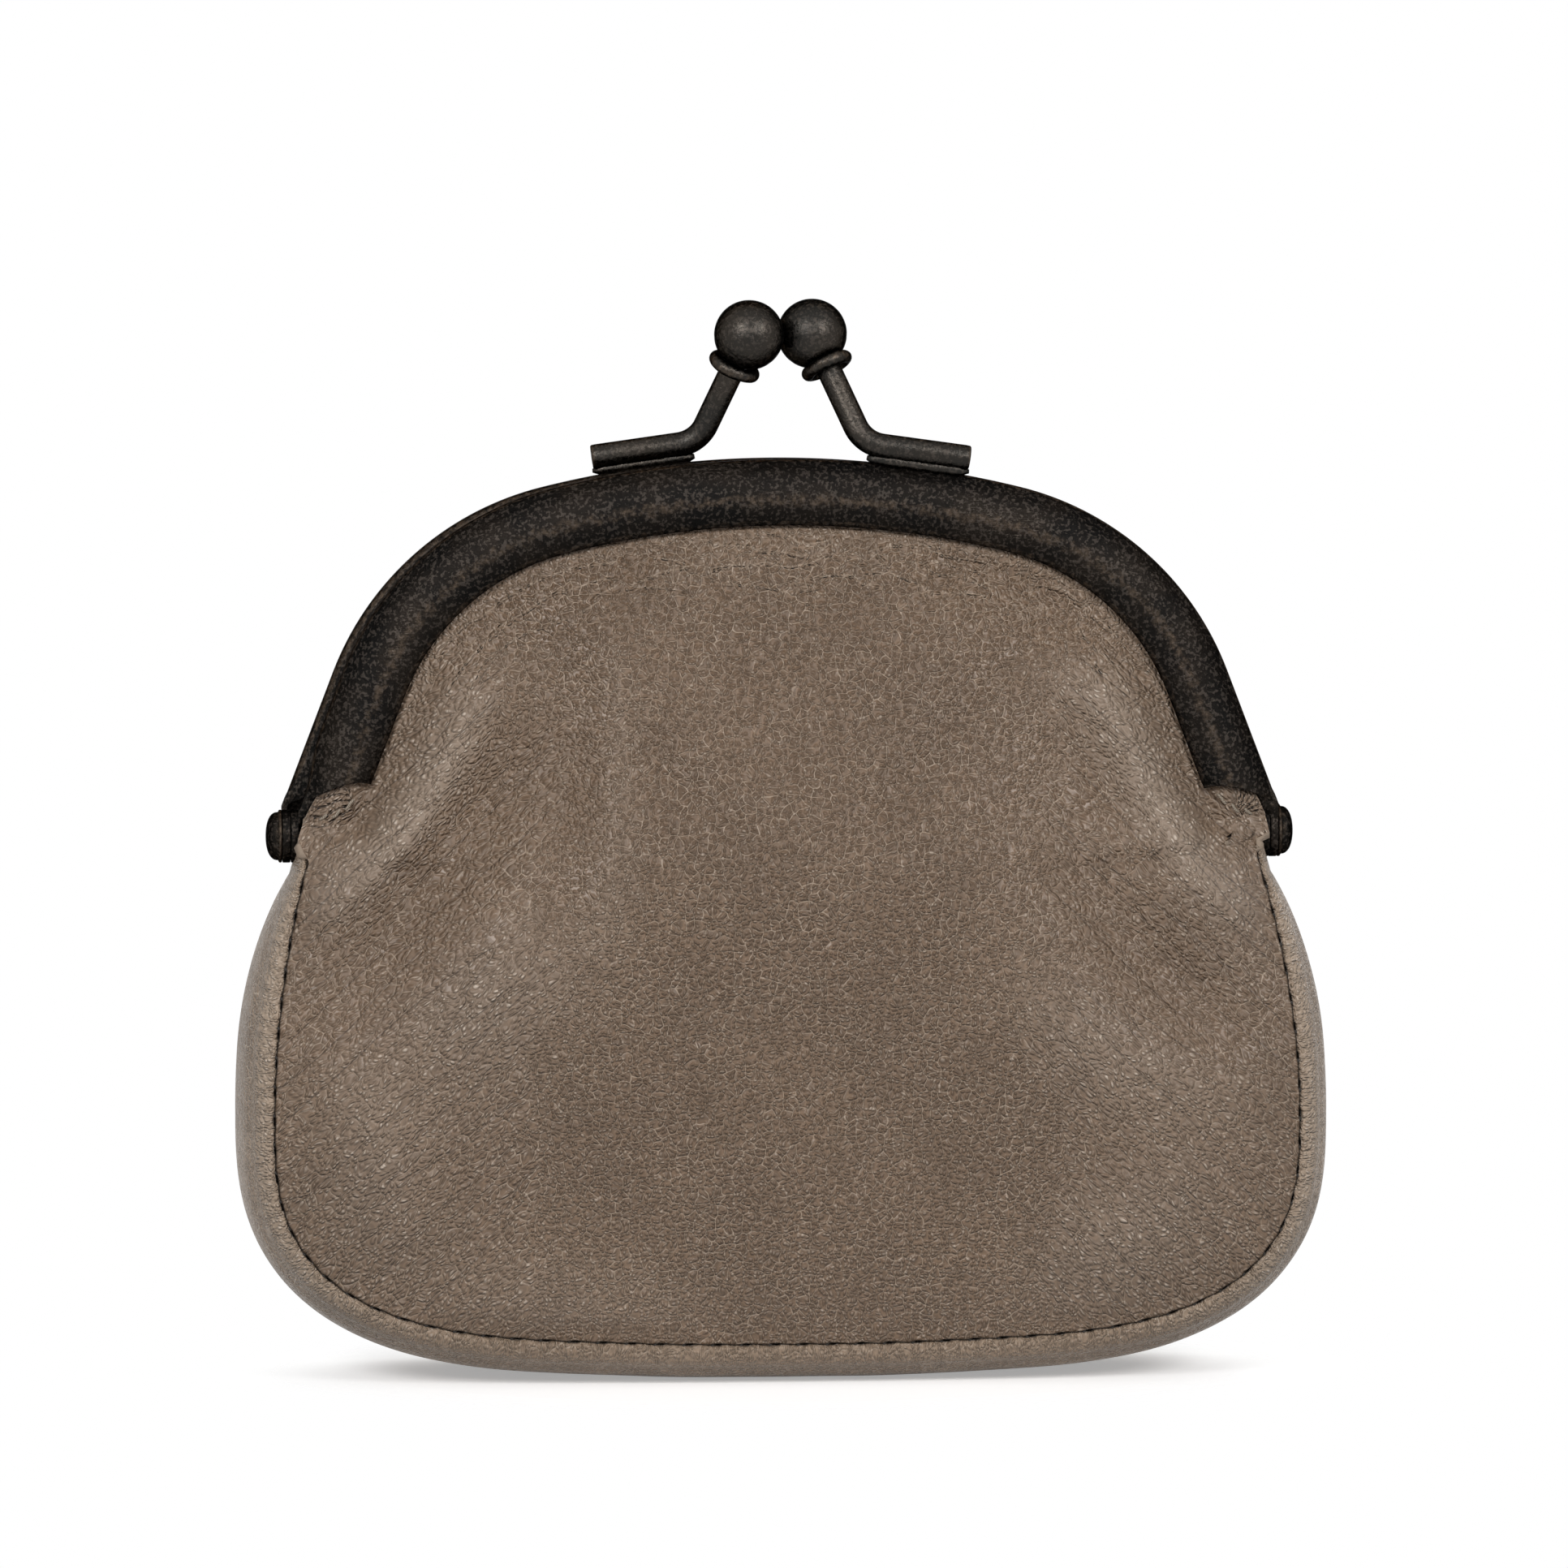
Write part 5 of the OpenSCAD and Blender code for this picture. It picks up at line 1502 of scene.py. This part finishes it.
# %% Wire, weld, ball and collar of one half
WIRE_SIDES, BEAD_REACH, BEAD_R, BEAD_SWELL = 28, 1.25, 0.24, 0.42
RUBBED_WIRE, RUBBED_FOOT_END, RUBBED_WELD = 0.22, 0.7, 0.05


def weld_bead():
    """A lumpy fillet between the foot and the crown."""
    path, radii = [], []
    for k, t in enumerate(np.linspace(-0.5, 0.5, 19)):
        drop = WIRE_R + 0.12 + 0.03 * math.sin(k * 2.3)
        path.append(foot_mid + BEAD_REACH * t * WELD_L * foot_dir - drop * foot_up)
        radii.append(BEAD_R + BEAD_SWELL * (1 - (2 * t) ** 6) + 0.05 * math.sin(k * 1.7))
    return swept_tube(path, radii, 12)


def make_wire(name, rear):
    path = wire_path()
    radii = np.full(len(path), WIRE_R)
    radii[0], radii[1] = WIRE_R - 0.14, WIRE_R - 0.03
    wire_points, wire_faces = swept_tube(path, radii, WIRE_SIDES)
    all_points, all_faces = joined((wire_points, wire_faces), weld_bead())
    worn = np.full(len(all_points), RUBBED_WELD)
    worn[:len(wire_points)] = RUBBED_WIRE
    worn[:2 * WIRE_SIDES] = RUBBED_FOOT_END
    place = all_points + MARKS_AT["wire"][rear]
    if rear:
        all_points = turned_half_round(all_points)
    wire = add_mesh(name, all_points, all_faces, {"place": place, "edge": worn})
    return finish_with(face_outwards(wire), clasp_metal)


def make_ball(name, rear):
    """A solid ball with the faint ring that its two dies left."""
    profile = []
    for a in np.linspace(0, math.pi, 49):
        ring = -0.035 * math.exp(-((math.degrees(a) - 62) / 2.2) ** 2)
        profile.append((BALL_R * math.cos(a), (BALL_R + ring) * math.sin(a)))
    points, faces = lathe(profile, 72, ball_c, -post_dir, (0, 1, 0.2))
    place = points + MARKS_AT["ball"][rear]
    if rear:
        points = turned_half_round(points)
    ball = add_mesh(name, points, faces, {"place": place, "edge": np.full(len(points), 0.12)})
    return finish_with(face_outwards(ball), clasp_metal)


def make_collar(name, rear):
    """A pressed ring under the ball, a little uneven."""
    seat = math.sqrt((BALL_R + COLLAR_T / 2) ** 2 - (COLLAR_R - COLLAR_T / 2) ** 2) + 0.03
    centre = ball_c - seat * post_dir
    side = unit(np.cross(post_dir, (0, 1, 0.2)))
    third = np.cross(post_dir, side)
    points, edge = [], []
    rings, around = 64, 20
    for i in range(rings):
        a = 2 * math.pi * i / rings
        out = math.cos(a) * side + math.sin(a) * third
        thick = COLLAR_T / 2 * (1 + 0.05 * math.sin(3 * a + 1))
        for j in range(around):
            b = 2 * math.pi * j / around
            r = COLLAR_R - COLLAR_T / 2 + thick * math.cos(b)
            r = max(r, WIRE_R + 0.02)
            points.append(centre + r * out + thick * math.sin(b) * post_dir)
            edge.append(0.2 + 0.4 * max(0.0, math.cos(b)))
    faces = [[i * around + j, (i + 1) % rings * around + j, (i + 1) % rings * around + (j + 1) % around,
              i * around + (j + 1) % around] for i in range(rings) for j in range(around)]
    points = np.array(points)
    place = points + MARKS_AT["collar"][rear]
    if rear:
        points = turned_half_round(points)
    collar = add_mesh(name, points, faces, {"place": place, "edge": edge})
    return finish_with(face_outwards(collar), clasp_metal)


# %% Set the clasp on both halves
for half, rear in HALVES:
    wire = make_wire(f"{half}_clasp_wire", rear)
    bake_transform(wire)
    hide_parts(f"{half}_clasp_foot", f"{half}_clasp_post")
    ball = make_ball(f"{half}_clasp_ball", rear)
    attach(ball, f"{half}_clasp")
    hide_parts(f"{half}_ball")
    collar = make_collar(f"{half}_clasp_collar", rear)
    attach(collar, f"{half}_clasp")
    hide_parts(f"{half}_collar")
print(f"ball centre {np.round(ball_c, 2)}, elbow angle {math.degrees(elbow_angle):.1f} degrees")

# %% [markdown]
# ## Paper cord and tacks
#
# A twisted paper cord is pressed into each channel behind the leather, and wedges it there. At the ends
# of the channel a few hand stitches in pale thread hold the corner of the leather.


# %% Paper cord in the channels
def make_paper_cord(name, rear):
    cord_r, sides = 0.55, 12
    middle = (face_c[0], BACK_W + SHEET_T + 0.05 + cord_r)
    inwards = BAND_W - middle[0]
    path = np.array([(p[0] - inwards * n[0] + half_shift, -middle[1], p[1] - inwards * n[1])
                     for p, n, down in stations if down < 0.75])
    path, along = evenly(path, 420)
    twist = lambda i, j: 1 - 0.14 * abs(math.sin(math.pi * (j / sides + along[i] / 2.6)))
    points, faces = swept_tube(path, np.full(len(path), cord_r), sides, twist)
    flat = per_point(along[:, None], np.arange(sides) / sides, 0)
    if rear:
        points = turned_half_round(points)
    cord = add_mesh(name, points, faces, {"flat": flat})
    return finish_with(cord, kraft_paper)


# %% Tacks at the corners
TACK_R = 0.15
# The stitches of a tack: where each comes up and goes down, across and up from the middle of the base
TACK_STITCHES = [((43.9, 59.0), (44.9, 57.9)), ((45.3, 58.0), (46.1, 57.1)), ((46.7, 57.5), (47.4, 56.9))]


def make_tacks(name, rear):
    """Short stitches of pale thread at each end, over the corner of the leather."""
    parts, flats = [], []
    for side in (-1, 1):
        for k, (come_up, go_down) in enumerate(TACK_STITCHES):
            t = np.linspace(0, 1, 13)
            x = mix(come_up[0], go_down[0], t) + 0.06 * np.sin(2 * math.pi * t + k)
            z = mix(come_up[1], go_down[1], t)
            depth = leather_depth(x, z)[0] + 0.1 - 0.35 * (2 * t - 1) ** 6
            path = np.column_stack([side * x + half_shift, -depth, z])
            parts.append(swept_tube(path, TACK_R * (1 - 0.25 * (2 * t - 1) ** 4), THREAD_SIDES))
            flats.append(per_point(t[:, None] * 2, THREAD_ROUND, 0))
    points, faces = joined(*parts)
    if rear:
        points = turned_half_round(points)
    tacks = add_mesh(name, points, faces, {"flat": np.vstack(flats)})
    return finish_with(face_outwards(tacks), tack_thread)


for half, rear in HALVES:
    cord = make_paper_cord(f"{half}_paper_cord", rear)
    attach(cord, f"{half}_half")
    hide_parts(f"{half}_packing_cord")
    tacks = make_tacks(f"{half}_corner_tacks", rear)
    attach(tacks, f"{half}_half")
    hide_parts(f"{half}_tacks")

# %% [markdown]
# ## Ground and world
#
# The ground is a white disc that turns transparent away from the purse, so that it meets the white world
# without an edge and keeps only the soft shadow at the base. It glows a little where it is seen, as a
# white table does that is lit from all round. The world is white to the camera and to the metal, so that
# the steel shows the backdrop too, but it lights the purse only softly: the softboxes do that.

# %% White ground
GROUND_R, GROUND_DROP, FADE_FROM, FADE_TO, GLOW = 2.0, 0.00005, 0.036, 0.06, 0.34
bpy.ops.mesh.primitive_circle_add(vertices=96, radius=GROUND_R, fill_type="TRIFAN",
                                  location=(0, 0, -GROUND_DROP))
ground = bpy.context.object
ground.name = "ground"
ground_material, tree, shader = new_material("white_ground")
shader.inputs["Base Color"].default_value = (0.93, 0.93, 0.93, 1)
shader.inputs["Roughness"].default_value = 0.8
shader.inputs["Specular IOR Level"].default_value = 0.0
spot = put(tree, "ShaderNodeNewGeometry").outputs["Position"]
narrow = put(tree, "ShaderNodeVectorMath", {0: spot, 1: (1.0, 1.8, 1.0)}, operation="MULTIPLY").outputs[0]
away = put(tree, "ShaderNodeVectorMath", {0: narrow}, operation="LENGTH").outputs["Value"]
shader.inputs["Emission Color"].default_value = (1, 1, 1, 1)
tree.links.new(calc(tree, "MULTIPLY", seen(tree), GLOW), shader.inputs["Emission Strength"])
faded = ease(tree, away, FADE_FROM, FADE_TO)
clear_bsdf = put(tree, "ShaderNodeBsdfTransparent")
both = put(tree, "ShaderNodeMixShader", {0: faded, 1: shader.outputs[0], 2: clear_bsdf.outputs[0]})
tree.links.new(both.outputs[0], tree.nodes["Material Output"].inputs["Surface"])
ground.data.materials.append(ground_material)

# %% White world
world = bpy.data.worlds.new("studio")
bpy.context.scene.world = world
world.use_nodes = True
tree = world.node_tree
background = tree.nodes["Background"]
AMBIENT = 0.3
tree.links.new(ease(tree, seen(tree), 0.0, 1.0, AMBIENT, 1.0), background.inputs["Strength"])
background.inputs["Color"].default_value = (1, 1, 1, 1)
bpy.context.scene.view_settings.view_transform = "Standard"
